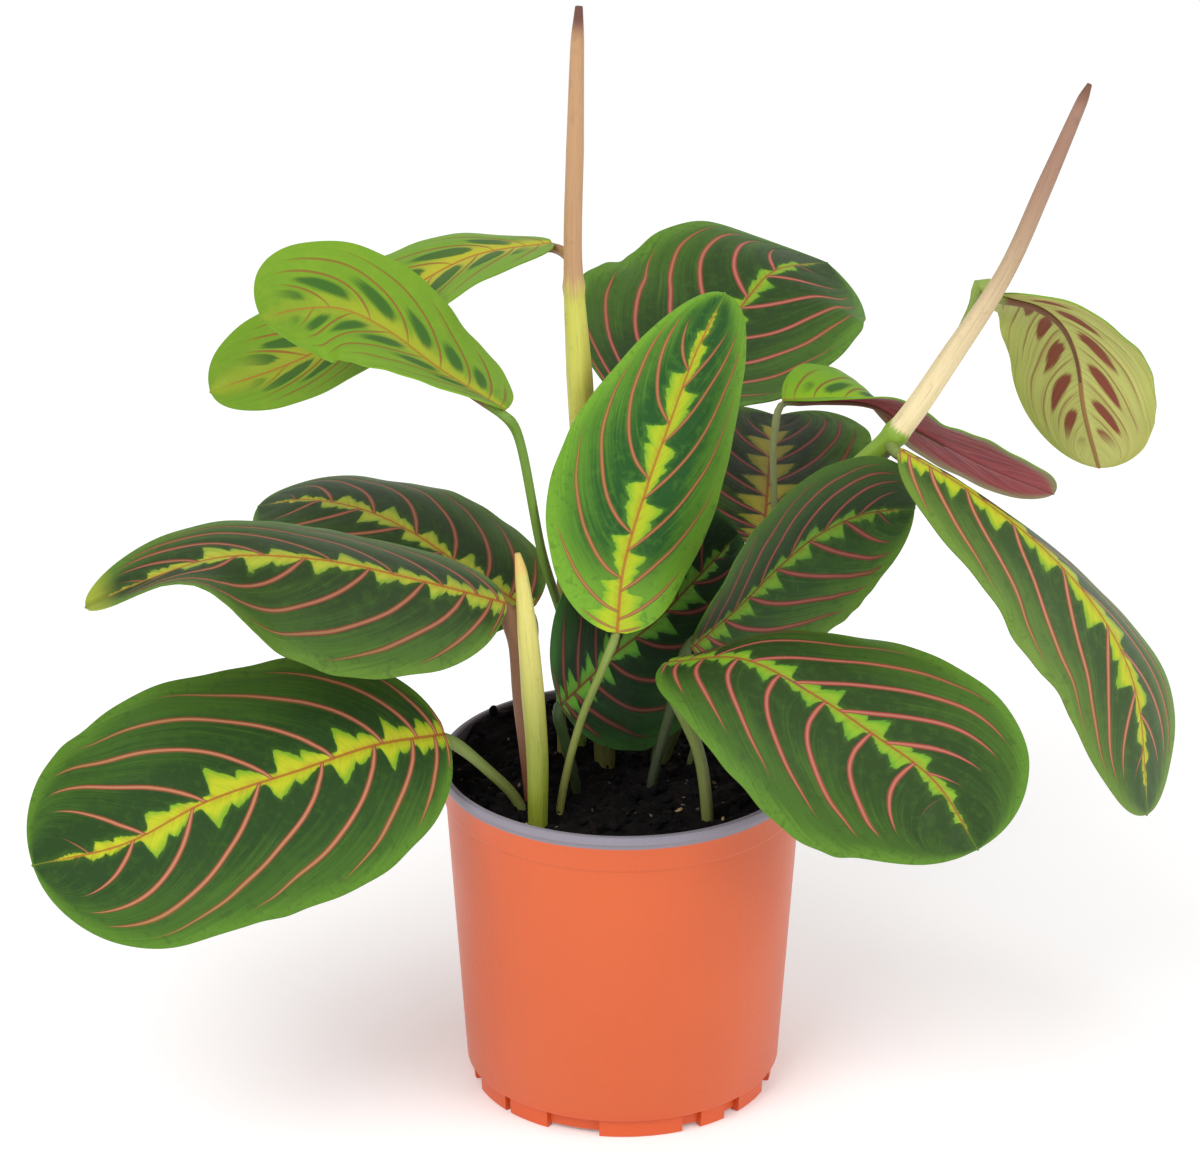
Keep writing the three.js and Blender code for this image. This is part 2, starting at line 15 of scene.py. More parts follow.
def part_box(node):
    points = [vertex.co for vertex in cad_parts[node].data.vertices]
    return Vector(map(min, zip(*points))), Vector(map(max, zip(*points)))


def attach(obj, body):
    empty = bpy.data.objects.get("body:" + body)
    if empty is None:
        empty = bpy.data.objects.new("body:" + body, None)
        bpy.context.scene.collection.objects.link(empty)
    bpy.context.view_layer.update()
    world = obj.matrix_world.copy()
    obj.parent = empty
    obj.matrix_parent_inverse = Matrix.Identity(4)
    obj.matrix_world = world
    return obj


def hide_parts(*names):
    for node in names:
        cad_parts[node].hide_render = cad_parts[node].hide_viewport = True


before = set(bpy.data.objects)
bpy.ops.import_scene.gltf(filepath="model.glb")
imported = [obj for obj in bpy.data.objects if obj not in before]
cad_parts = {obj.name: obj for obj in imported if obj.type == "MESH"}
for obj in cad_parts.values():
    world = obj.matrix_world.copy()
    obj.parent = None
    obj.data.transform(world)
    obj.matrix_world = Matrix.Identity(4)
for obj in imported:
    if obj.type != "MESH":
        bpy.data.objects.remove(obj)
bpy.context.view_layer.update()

MM = 0.001
LOG = logging.getLogger("prayer_plant")

Point = tuple[float, float, float]
# Red, green and blue from 0 to 255, as seen on a screen.
Colour = tuple[int, int, int]
Place = Callable[[np.ndarray, np.ndarray], np.ndarray]

# The soil's level over the floor and the depth that stems and stalks stand in it, in millimetres.
SOIL_LEVEL = 105.5
PLANT_DEPTH = 24.0

# Turns of a blade are evened out over these shares of its rib on either side: the values that shape it, and
# the rib's direction that its rows lie square to.
SOFTENING = 0.07
ROW_SOFTENING = 0.12

# The colour of a stalk's foot deep inside the plant, darkened there as painted shade.
SHADED_STALK_FOOT = (40, 46, 26)


def pot_axis() -> np.ndarray:
    """Where the pot's axis meets the floor, in millimetres."""
    low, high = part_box("pot")
    return np.array([(low.x + high.x) / 2, (low.y + high.y) / 2, 0.0]) / MM


AXIS = pot_axis()


def linear(colour: Colour) -> tuple[float, ...]:
    """Turns a screen colour into the shader's linear values, with full alpha."""
    return (*(((c / 255 + 0.055) / 1.055) ** 2.4 if c > 10 else c / 255 / 12.92 for c in colour), 1.0)


def unit(values: np.ndarray) -> np.ndarray:
    """Scales the vectors in the last axis to length one."""
    return values / np.maximum(np.linalg.norm(values, axis=-1, keepdims=True), 1e-12)


def ramp(values: np.ndarray, low: float, high: float) -> np.ndarray:
    """A smooth step from 0 at low to 1 at high."""
    share = np.clip((values - low) / (high - low), 0, 1)
    return share * share * (3 - 2 * share)


def stations(values: tuple, shares: np.ndarray) -> np.ndarray:
    """Values at shares from 0 to 1 between stations spaced evenly, with the corners rounded.

    Args:
        values: One number or point for each station.
        shares: Where the values are wanted.

    Returns:
        The values, with one more axis where the stations are points.
    """
    known = np.array(values, float)
    marks = np.linspace(0, 1, len(known))
    columns = known[:, None] if known.ndim == 1 else known
    shifts = (-SOFTENING, -SOFTENING / 2, 0, SOFTENING / 2, SOFTENING)
    sums = [sum(np.interp(shares + shift, marks, column) for shift in shifts) for column in columns.T]
    parts = [total / len(shifts) for total in sums]
    return parts[0] if known.ndim == 1 else np.stack(parts, -1)


class Route:
    """A smooth curve through a few points, read by the share of its length."""

    SAMPLES = 48

    def __init__(self, points: list[Point] | np.ndarray) -> None:
        """Samples the curve.

        Args:
            points: The points it runs through, in millimetres.
        """
        known = np.array([p[:3] for p in points], float)
        self.count = len(known)
        ends = np.vstack([2 * known[0] - known[1], known, 2 * known[-1] - known[-2]])
        parts, marks = [], []
        for i in range(self.count - 1):
            last = i == self.count - 2
            share = np.linspace(0, 1, self.SAMPLES, endpoint=last)[:, None]
            parts.append(self._span(ends[i : i + 4], share))
            marks.append(i + share[:, 0])
        self.points = np.concatenate(parts)
        self.marks = np.concatenate(marks)
        steps = np.linalg.norm(np.diff(self.points, axis=0), axis=1)
        self.lengths = np.concatenate([[0], np.cumsum(steps)])
        self.length = float(self.lengths[-1])

    @staticmethod
    def _span(four: np.ndarray, share: np.ndarray) -> np.ndarray:
        """One stretch of a centripetal Catmull-Rom curve, between the middle two of four points."""
        first, start, end, last = four
        gaps = [max(float(np.linalg.norm(b - a)), 1e-4) ** 0.5 for a, b in zip(four[:-1], four[1:])]
        before, over, after = gaps
        leave = ((start - first) / before - (end - first) / (before + over) + (end - start) / over) * over
        arrive = ((end - start) / over - (last - start) / (over + after) + (last - end) / after) * over
        square = -3 * start + 3 * end - 2 * leave - arrive
        cube = 2 * start - 2 * end + leave + arrive
        return start + leave * share + square * share**2 + cube * share**3

    def at(self, shares: np.ndarray) -> np.ndarray:
        """Points at shares of the curve's length."""
        wanted = np.clip(shares, 0, 1) * self.length
        return np.stack([np.interp(wanted, self.lengths, self.points[:, k]) for k in range(3)], -1)

    def along(self, shares: np.ndarray, reach: float = 0.004) -> np.ndarray:
        """Directions of the curve at shares of its length, taken over a reach to either side."""
        return unit(self.at(np.clip(shares + reach, 0, 1)) - self.at(np.clip(shares - reach, 0, 1)))

    def mark(self, shares: np.ndarray) -> np.ndarray:
        """Places between the given points, counted from 0, at shares of the length."""
        return np.interp(np.clip(shares, 0, 1) * self.length, self.lengths, self.marks)


def math_node(operation: str, reflected: bool = False) -> Callable[..., "Term"]:
    """Makes a method of Term that adds one Math node.

    Args:
        operation: The node's operation.
        reflected: Whether the term comes second, after a number.

    Returns:
        The method.
    """

    def method(term: "Term", *others: Any) -> "Term":
        """Adds the node."""
        values = (*others, term) if reflected else (term, *others)
        return term.shader.add("ShaderNodeMath", {"operation": operation}, dict(enumerate(values)))

    return method


class Term:
    """A shader value that takes part in arithmetic: each step adds its Math node."""

    def __init__(self, shader: "Shader", socket: bpy.types.NodeSocket) -> None:
        """Keeps the socket and the shader that it belongs to."""
        self.shader = shader
        self.socket = socket

    def of(self, output: str) -> "Term":
        """Another output of the same node."""
        return Term(self.shader, self.socket.node.outputs[output])

    def swing(self, amount: float) -> "Term":
        """A noise value turned into a swing about 0, as wide as the amount."""
        return (self - 0.5) * amount

    __add__ = math_node("ADD")
    __radd__ = math_node("ADD", reflected=True)
    __sub__ = math_node("SUBTRACT")
    __rsub__ = math_node("SUBTRACT", reflected=True)
    __mul__ = math_node("MULTIPLY")
    __rmul__ = math_node("MULTIPLY", reflected=True)
    __truediv__ = math_node("DIVIDE")
    __pow__ = math_node("POWER")
    __abs__ = math_node("ABSOLUTE")
    larger = math_node("MAXIMUM")
    smaller = math_node("MINIMUM")
    above = math_node("GREATER_THAN")
    floor = math_node("FLOOR")
    nearest = math_node("ROUND")
    fraction = math_node("FRACT")
    square_root = math_node("SQRT")
    sine = math_node("SINE")
    cosine = math_node("COSINE")


class Shader:
    """One procedural material, built up from its nodes."""

    def __init__(self, name: str) -> None:
        """Starts a material that holds only its surface shader.

        Args:
            name: The material's name.
        """
        self.material = bpy.data.materials.new(name)
        self.material.use_nodes = True
        self.tree = self.material.node_tree
        self.tree.nodes.clear()
        self.surface = self.tree.nodes.new("ShaderNodeBsdfPrincipled")
        output = self.tree.nodes.new("ShaderNodeOutputMaterial")
        self.tree.links.new(self.surface.outputs[0], output.inputs[0])

    def plug(self, socket: bpy.types.NodeSocket, value: Any) -> None:
        """Gives a socket a number, a screen colour or a link."""
        if isinstance(value, Term):
            self.tree.links.new(value.socket, socket)
        else:
            socket.default_value = linear(value) if isinstance(value, tuple) else value

    def add(self, kind: str, settings: dict[str, Any] | None = None,
            inputs: dict[str | int, Any] | None = None, output: str | int = 0) -> Term:
        """Adds a node.

        Args:
            kind: The node's type.
            settings: Its settings, set before its sockets.
            inputs: Values or links for its sockets, by name or place.
            output: The output that is wanted.

        Returns:
            That output.
        """
        node = self.tree.nodes.new(kind)
        for key, value in (settings or {}).items():
            setattr(node, key, value)
        for key, value in (inputs or {}).items():
            self.plug(node.inputs[key], value)
        return Term(self, node.outputs[output])

    def mix(self, share: Any, first: Any, second: Any) -> Term:
        """A colour between two others."""
        settings = {"data_type": "RGBA", "clamp_factor": True}
        return self.add("ShaderNodeMix", settings, {0: share, 6: first, 7: second}, 2)

    def step(self, value: Any, low: Any, high: Any) -> Term:
        """A smooth step from 0 at low to 1 at high, or falling where low is the greater."""
        settings = {"interpolation_type": "SMOOTHSTEP"}
        inputs = {"Value": value, "From Min": low, "From Max": high}
        return self.add("ShaderNodeMapRange", settings, inputs)

    def blend(self, colour: Any, other: Any, value: Any, low: Any, high: Any, share: Any = 1.0) -> Term:
        """Mixes another colour in where a value passes a smooth step.

        Args:
            colour: The colour that is there.
            other: The colour that is mixed in.
            value: The value that the step reads.
            low: Where the step is 0.
            high: Where it is 1.
            share: How much of the other colour there is then.

        Returns:
            The mixed colour.
        """
        return self.mix(self.step(value, low, high) * share, colour, other)

    def attribute(self, name: str) -> Term:
        """The three parts of an attribute of the mesh."""
        vector = self.add("ShaderNodeAttribute", {"attribute_name": name}, output="Vector")
        return self.add("ShaderNodeSeparateXYZ", inputs={0: vector})

    def vector(self, x: Any, y: Any, z: Any = 0.0) -> Term:
        """A vector from three values."""
        return self.add("ShaderNodeCombineXYZ", inputs={0: x, 1: y, 2: z})

    def object_place(self) -> Term:
        """The point's place in the object, in metres."""
        return self.add("ShaderNodeTexCoord", output="Object")

    def noise(self, vector: Term, scale: float = 1.0, detail: float = 2.0, roughness: float = 0.5) -> Term:
        """Smooth noise from about 0.2 to 0.8.

        Args:
            vector: Where it is read.
            scale: How many times it varies in one unit.
            detail: How many finer layers it has.
            roughness: How strong the finer layers are.

        Returns:
            The noise value.
        """
        inputs = {"Vector": vector, "Scale": scale, "Detail": detail, "Roughness": roughness}
        return self.add("ShaderNodeTexNoise", {"noise_dimensions": "3D"}, inputs)

    def finish(self, colour: Any, roughness: Any, height: Term | None = None, depth: float = 0.001,
               **constants: Any) -> bpy.types.Material:
        """Sets the surface.

        Args:
            colour: The base colour.
            roughness: The roughness.
            height: The relief, where the finish has one.
            depth: The relief's depth in metres.
            constants: Numbers for other sockets, with _ for a space in the socket's name.

        Returns:
            The material.
        """
        self.plug(self.surface.inputs["Base Color"], colour)
        self.plug(self.surface.inputs["Roughness"], roughness)
        if height is not None:
            bump = self.add("ShaderNodeBump", inputs={"Height": height, "Distance": depth, "Strength": 1.0})
            self.plug(self.surface.inputs["Normal"], bump)
        for key, value in constants.items():
            self.surface.inputs[key.replace("_", " ")].default_value = value
        return self.material


@dataclass(frozen=True)
class Texture:
    """Noise along a blade's veins: how often it varies between two veins and from rib to margin, its finer
    layers, and how far the right half's noise lies from the left's."""

    between: float
    outward: float
    detail: float = 2.0
    roughness: float = 0.6
    apart: float = 0.0


STREAKS = Texture(9.0, 1.6, 4.0, apart=7.0)
UNDER_STREAKS = replace(STREAKS, apart=0.0)
FINE_STREAKS = Texture(34.0, 2.6)
UNDER_LINES = Texture(22.0, 0.8, roughness=0.5)
CLOUDS = Texture(1.3, 2.2, roughness=0.5, apart=3.0)
UPPER = (STREAKS, FINE_STREAKS, CLOUDS)


class BladeShader(Shader):
    """A blade's material, which knows from the blade's attributes where a point lies on it."""

    def __init__(self, name: str) -> None:
        """Reads the attributes.

        Args:
            name: The material's name.
        """
        super().__init__(name)
        place, veins, roots = (self.attribute(key) for key in ("place", "veins", "roots"))
        half = place.of("Z")
        self.side = place.of("X").above(0.0)
        self.reach = abs(place.of("X"))
        self.edge = half - self.reach
        self.across = self.reach / half.larger(0.5)
        self.along = place.of("Y")
        self.phase = self._own(veins)
        self.root = self._own(roots)
        self.spacing = veins.of("Z")
        self.seed = roots.of("Z")
        self.textures: dict[Texture, Term] = {}

    def _own(self, pair: Term) -> Term:
        """The first of two values on the left half, and the second on the right."""
        return pair.of("X") + self.side * (pair.of("Y") - pair.of("X"))

    def texture(self, kind: Texture) -> Term:
        """Noise of one kind, made once."""
        if kind not in self.textures:
            seed = self.seed + self.side * kind.apart
            place = self.vector(self.phase * kind.between, self.across * kind.outward, seed)
            self.textures[kind] = self.noise(place, 1.0, kind.detail, kind.roughness)
        return self.textures[kind]

    def ovals(self, place: Term, slimness: float, ragged: Term, low: float, high: float) -> Term:
        """A mask of blotches, one between every two veins.

        Args:
            place: Distance outward from a blotch's middle, with 1 at about its end.
            slimness: How much slimmer it is from vein to vein.
            ragged: What makes its outline uneven.
            low: Where the mask is 0, from the middle outward.
            high: Where it is 1.

        Returns:
            The mask, which fades out at both ends of the blade.
        """
        middle = self.phase.fraction().swing(2.0)
        oval = (middle * middle * slimness + place * place).square_root() + ragged
        ends = self.step(self.along, 0.93, 0.8) * self.step(self.along, 0.05, 0.14)
        return self.step(oval, low, high) * ends


class Pattern(Enum):
    """How a blade's upper side is patterned."""

    FEATHERED = "feathered"
    BLOTCHED = "blotched"


@dataclass(frozen=True)
class BladeFinish:
    """The colours of one kind of blade, on both sides."""

    name: str
    pattern: Pattern
    dark: Colour
    mid: Colour
    margin: Colour
    lime: Colour
    lime_edge: Colour
    vein: Colour
    vein_far: Colour
    vein_edge: Colour
    rib: Colour
    under: Colour
    under_patch: Colour
    under_vein: Colour
    under_edge: Colour = (96, 112, 56)
    vein_half: float = 0.85
    reach: float = 8.6
    rim: float = 7.5
    rim_right: float = 0.0
    rim_low: float = 0.0
    left_shade: float = 0.0
    tip_lime: float = 0.0
    base_glow: float = 0.0
    vein_end: float = 0.95
    vein_short: float = 0.0
    base_lime: float = 4.2
    barbs: tuple[tuple[float, float, float, float], ...] = ((0.1, 0.4, 0.56, 0.5), (0.42, 0.76, 0.93, 1.0))
    barb_lean: float = 0.2
    band: float = 0.3
    patch_soft: float = 0.55
    roughness: float = 0.42
    gloss: float = 0.1

    RELIEF = 0.0004

    def _vein_mask(self, blade: BladeShader, half: float, soft: float) -> tuple[Term, Term]:
        """The lateral veins as lines that taper out before the margin.

        Args:
            blade: The material being built.
            half: Half a vein's width in millimetres.
            soft: The width of its soft edge.

        Returns:
            A mask of the whole vein, and one of its middle.
        """
        wobble = blade.noise(blade.vector(blade.phase * 0.8, blade.reach * 0.12, blade.seed)).swing(0.05)
        away = abs(blade.phase + wobble - blade.phase.nearest()) * blade.spacing
        across = blade.across + blade.side * self.vein_short
        fade = blade.step(across, 0.97, 0.68) * blade.step(blade.along, self.vein_end, self.vein_end - 0.17)
        start = blade.step(blade.reach, -1.0, 6.0) * 0.45 + 0.55
        early = blade.step(blade.phase, 0.6, 2.6) * 0.45 + 0.55
        width = fade * start * early * half
        there = blade.phase.above(0.55)
        whole = blade.step(away, width + soft, width - soft * 0.4) * blade.step(width, 0.05, 0.3) * there
        middle = blade.step(away, width * 0.75, width * 0.3) * there
        return whole, middle

    def top(self) -> bpy.types.Material:
        """The blade's upper side."""
        blade = BladeShader(f"{self.name}_top")
        across, along = blade.across, blade.along
        streak, fine, cloud = (blade.texture(kind) for kind in UPPER)
        colour = self._feathered(blade) if self.pattern is Pattern.FEATHERED else self._blotched(blade)
        whole, middle = self._vein_mask(blade, self.vein_half, 0.22)
        tint = blade.blend(self.vein, self.vein_far, across + streak.swing(0.4), 0.4, 0.95)
        vein = blade.mix(middle * 0.85, self.vein_edge, tint)
        colour = blade.mix(whole * (0.94 - blade.step(across, 0.7, 1.0) * 0.25), colour, vein)
        rib_half = 0.5 - along * 0.28
        rib = blade.step(blade.reach, rib_half + 0.25, rib_half - 0.1) * blade.step(along, 0.975, 0.9)
        colour = blade.mix(rib * 0.8, colour, self.rib)
        height = fine * 0.16 + streak * 0.2 + whole * 0.3 + cloud * 0.25
        gloss = self.roughness + streak.swing(0.16)
        return blade.finish(colour, gloss, height, self.RELIEF, Specular_IOR_Level=self.gloss)

    def _feathered(self, blade: BladeShader) -> Term:
        """Dark green with a lime feather of teeth along the rib.

        Args:
            blade: The material being built.

        Returns:
            The colour without its veins.
        """
        reach, along = blade.reach, blade.along
        streak, fine, cloud = (blade.texture(kind) for kind in UPPER)
        out = blade.across + streak.swing(0.6) + cloud.swing(0.6)
        colour = blade.blend(self.dark, self.mid, out, 0.25, 0.95)
        colour = blade.blend(colour, self.mid, streak, 0.55, 0.75, 0.3)
        colour = blade.blend(colour, self.margin, fine, 0.52, 0.72, blade.step(out, 0.2, 0.75) * 0.4)
        rim = blade.edge + streak.swing(9.0) + cloud.swing(5.0)
        limit = blade.side * self.rim_right + blade.step(along, 0.55, 0.15) * self.rim_low + self.rim
        colour = blade.blend(colour, self.margin, rim, limit, 0.3, 0.85)
        colour = blade.blend(colour, self.margin, along, 0.27, 0.06, self.base_glow)
        mottle = blade.noise(blade.object_place(), 300.0, 4.0, 0.65)
        colour = blade.blend(colour, self.mid, mottle, 0.5, 0.66, 0.28)
        colour = blade.blend(colour, self.dark, mottle, 0.46, 0.34, 0.3)
        deep = blade.mix(0.6, self.dark, (0, 0, 0))
        colour = blade.mix((1.0 - blade.side) * self.left_shade, colour, deep)
        colour = blade.blend(colour, self.lime, along, 0.9, 0.985, self.tip_lime)
        bound = self._teeth(blade)
        inner = blade.step(reach + streak.swing(4.0), bound * 0.95 + 0.6, bound * 0.4)
        lime = blade.mix(inner, self.lime_edge, self.lime)
        lime = blade.blend(lime, self.lime_edge, fine, 0.5, 0.7, 0.35)
        lime = blade.blend(lime, self.rib, reach, 3.0, 0.5, blade.step(streak, 0.35, 0.65) * 0.35)
        colour = blade.blend(colour, self.mid, reach, bound + 2.6, bound, 0.4)
        return blade.blend(colour, lime, reach, bound + 0.35, bound - 0.45)

    def _teeth(self, blade: BladeShader) -> Term:
        """How far the lime feather reaches from the rib: its barbs repeat between every two veins.

        Args:
            blade: The material being built.

        Returns:
            The reach in millimetres.
        """
        along = blade.along
        place = blade.root + (blade.phase - blade.root) * self.barb_lean
        count = place.floor()
        own = blade.noise(blade.vector(count * 3.7, blade.seed, blade.side * 9.0), detail=0.0)
        saw = place - count + own.swing(0.12)
        tooth = None
        for rise, apex, fall, size in self.barbs:
            barb = ((saw - rise) / (apex - rise)).larger(0.0) ** 0.8 * blade.step(saw, fall, apex - 0.02)
            barb = barb.smaller(1.0) * size
            tooth = barb if tooth is None else tooth.larger(barb)
        tooth = tooth * 0.84 + 0.16
        sized = own.swing(1.1) + 1.0
        length = blade.step(along, -0.05, 0.16) * blade.step(along, 1.05, 0.62) * self.reach * sized
        base = blade.step(along, 0.16, 0.0) * self.base_lime
        coarse = blade.noise(blade.vector(place * 7.5, blade.reach * 0.26, blade.seed))
        ragged = blade.texture(FINE_STREAKS).swing(2.4) + coarse.swing(5.0)
        bound = tooth * length + base + ragged * (tooth * 0.8 + 0.1)
        return bound * blade.step(along, 0.97, 0.9)

    def _blotched(self, blade: BladeShader) -> Term:
        """Light green with dark ovals between the veins beside a yellow band at the rib.

        Args:
            blade: The material being built.

        Returns:
            The colour without its veins.
        """
        across = blade.across
        streak, fine, cloud = (blade.texture(kind) for kind in UPPER)
        colour = blade.blend(self.mid, self.margin, across + streak.swing(0.5), 0.2, 1.0)
        mottle = blade.noise(blade.object_place(), 190.0, 4.0, 0.65)
        colour = blade.blend(colour, self.lime_edge, mottle, 0.48, 0.66, 0.3)
        colour = blade.blend(colour, self.lime_edge, fine, 0.5, 0.66, 0.22)
        fading = 1.0 - blade.step(blade.along, 0.5, 0.9) * 0.65
        near = across + streak.swing(0.35)
        colour = blade.blend(colour, self.lime, near, self.band, self.band * 0.2, fading * 0.8)
        place = (across - 0.3 + cloud.swing(0.12)) * 5.2
        blotch = blade.ovals(place, 2.2, streak.swing(0.6) + cloud.swing(0.5), 1.12, self.patch_soft)
        return blade.mix(blotch * 0.92, colour, self.dark)

    def bottom(self) -> bpy.types.Material:
        """The blade's underside."""
        blade = BladeShader(f"{self.name}_bottom")
        streak = blade.texture(UNDER_STREAKS)
        colour = blade.blend(self.under, self.under_edge, blade.edge + streak.swing(6.0), 6.0, 1.0, 0.85)
        colour = blade.blend(colour, self.under_vein, blade.texture(UNDER_LINES), 0.52, 0.62, 0.4)
        blotch = blade.ovals((blade.across - 0.32) * 4.8, 2.6, streak.swing(0.9), 1.1, 0.7)
        colour = blade.mix(blotch * 0.9, colour, self.under_patch)
        whole, _ = self._vein_mask(blade, self.vein_half * 0.75, 0.25)
        rib = blade.step(blade.reach, 0.9, 0.5)
        colour = blade.mix(whole.larger(rib) * 0.8, colour, self.under_vein)
        height = blade.texture(FINE_STREAKS) * 0.2 + streak * 0.2 + whole * 0.6 + rib * 0.8
        return blade.finish(colour, 0.5, height, self.RELIEF, Specular_IOR_Level=0.2)


MATURE = BladeFinish(
    "mature_leaf", Pattern.FEATHERED,
    dark=(42, 68, 32), mid=(64, 98, 36), margin=(90, 130, 42),
    lime=(182, 188, 42), lime_edge=(118, 160, 42),
    vein=(192, 130, 98), vein_far=(160, 128, 74), vein_edge=(132, 70, 50), rib=(160, 88, 44),
    under=(104, 70, 62), under_patch=(92, 42, 52), under_vein=(132, 92, 72),
)
ROSY = replace(
    MATURE, name="rosy_leaf", dark=(46, 68, 32), mid=(68, 100, 38), margin=(94, 134, 46),
    vein=(184, 112, 94), vein_far=(158, 114, 68), vein_edge=(138, 64, 56),
    lime=(130, 166, 44), lime_edge=(92, 144, 44), rib=(146, 80, 44), reach=6.4,
)
BRIGHT = replace(
    MATURE, name="centre_leaf", dark=(38, 80, 36), mid=(84, 130, 42), margin=(112, 158, 48),
    lime=(166, 182, 40), lime_edge=(118, 164, 44), vein=(172, 118, 78), vein_far=(150, 124, 68),
    vein_edge=(136, 80, 52), rib=(164, 96, 44), reach=6.8, base_lime=8.5, vein_half=0.6, rim=4.5,
    rim_right=4.5, rim_low=6.0, base_glow=0.9, barbs=((0.08, 0.5, 0.72, 0.7), (0.45, 0.8, 0.98, 1.0)),
)
DUSKY = replace(
    MATURE, name="dusky_leaf", dark=(44, 62, 32), mid=(66, 96, 38), margin=(94, 126, 46),
    lime=(164, 172, 58), lime_edge=(116, 144, 50), vein=(162, 108, 80), vein_far=(140, 110, 68),
    vein_edge=(112, 60, 46), reach=6.6,
)
TIPPED = replace(DUSKY, name="tipped_leaf", tip_lime=0.75)
BROAD = replace(ROSY, name="broad_leaf", vein_end=0.88, vein_short=0.13)
SHADED = replace(
    MATURE, name="shaded_leaf", dark=(48, 76, 38), mid=(78, 114, 44), margin=(98, 138, 48),
    lime=(120, 162, 54), lime_edge=(90, 140, 50), vein=(160, 94, 82), vein_far=(130, 94, 60),
    vein_edge=(116, 56, 50), rib=(124, 68, 40), reach=6.6,
)
# A copy of the shaded finish. Its darker greens and dull veins are painted shade, and its olive-yellow
# feather and orange rib are the leaf's own colours.
SHADED_OLIVE = replace(
    SHADED, name="olive_leaf", dark=(42, 54, 32), lime=(172, 164, 58), lime_edge=(134, 138, 52),
    rib=(150, 78, 44), reach=9.5, barbs=((0.08, 0.66, 0.99, 1.0),),
)
HALF_LIT = replace(SHADED, name="half_lit_leaf", left_shade=0.55)
DEEP = replace(
    SHADED, name="deep_shade_leaf", dark=(30, 50, 30), mid=(44, 76, 38), margin=(62, 104, 50),
    lime=(100, 158, 54), lime_edge=(72, 122, 48), vein=(122, 76, 62), vein_far=(98, 76, 50),
    vein_edge=(80, 42, 38), rib=(104, 54, 38), reach=8.6,
)
SUNLIT = replace(
    MATURE, name="sunlit_leaf", dark=(54, 78, 38), mid=(84, 112, 46), margin=(108, 138, 52), gloss=0.2,
)
YOUNG = BladeFinish(
    "young_leaf", Pattern.BLOTCHED,
    dark=(54, 94, 38), mid=(108, 144, 40), margin=(112, 152, 42),
    lime=(160, 164, 46), lime_edge=(132, 160, 44),
    vein=(148, 104, 52), vein_far=(140, 122, 50), vein_edge=(130, 78, 44), rib=(160, 108, 50),
    under=(194, 198, 116), under_patch=(130, 42, 52), under_vein=(154, 92, 62),
    vein_half=0.3,
)
GOLDEN = replace(
    YOUNG, name="golden_leaf", lime=(184, 176, 52), vein=(168, 88, 48), rib=(170, 92, 48), band=0.52,
    patch_soft=0.85,
)
MAROON = replace(
    YOUNG, name="maroon_leaf", mid=(124, 166, 40), margin=(110, 156, 42), lime=(140, 178, 38),
    under=(160, 72, 76), under_patch=(132, 46, 56), under_vein=(128, 60, 58),
    under_edge=(152, 158, 112),
)
UPTURNED = replace(YOUNG, name="upturned_leaf", under_edge=(184, 190, 102))


@dataclass(frozen=True)
class Half:
    """One half of a blade: its rise from the rib and the curl further out in degrees, how its veins run and
    how much slimmer it is at its tip."""

    fold: tuple[float, ...]
    curl: tuple[float, ...]
    lean: float = 0.7
    shift: float = 0.0
    slim: float = 0.0


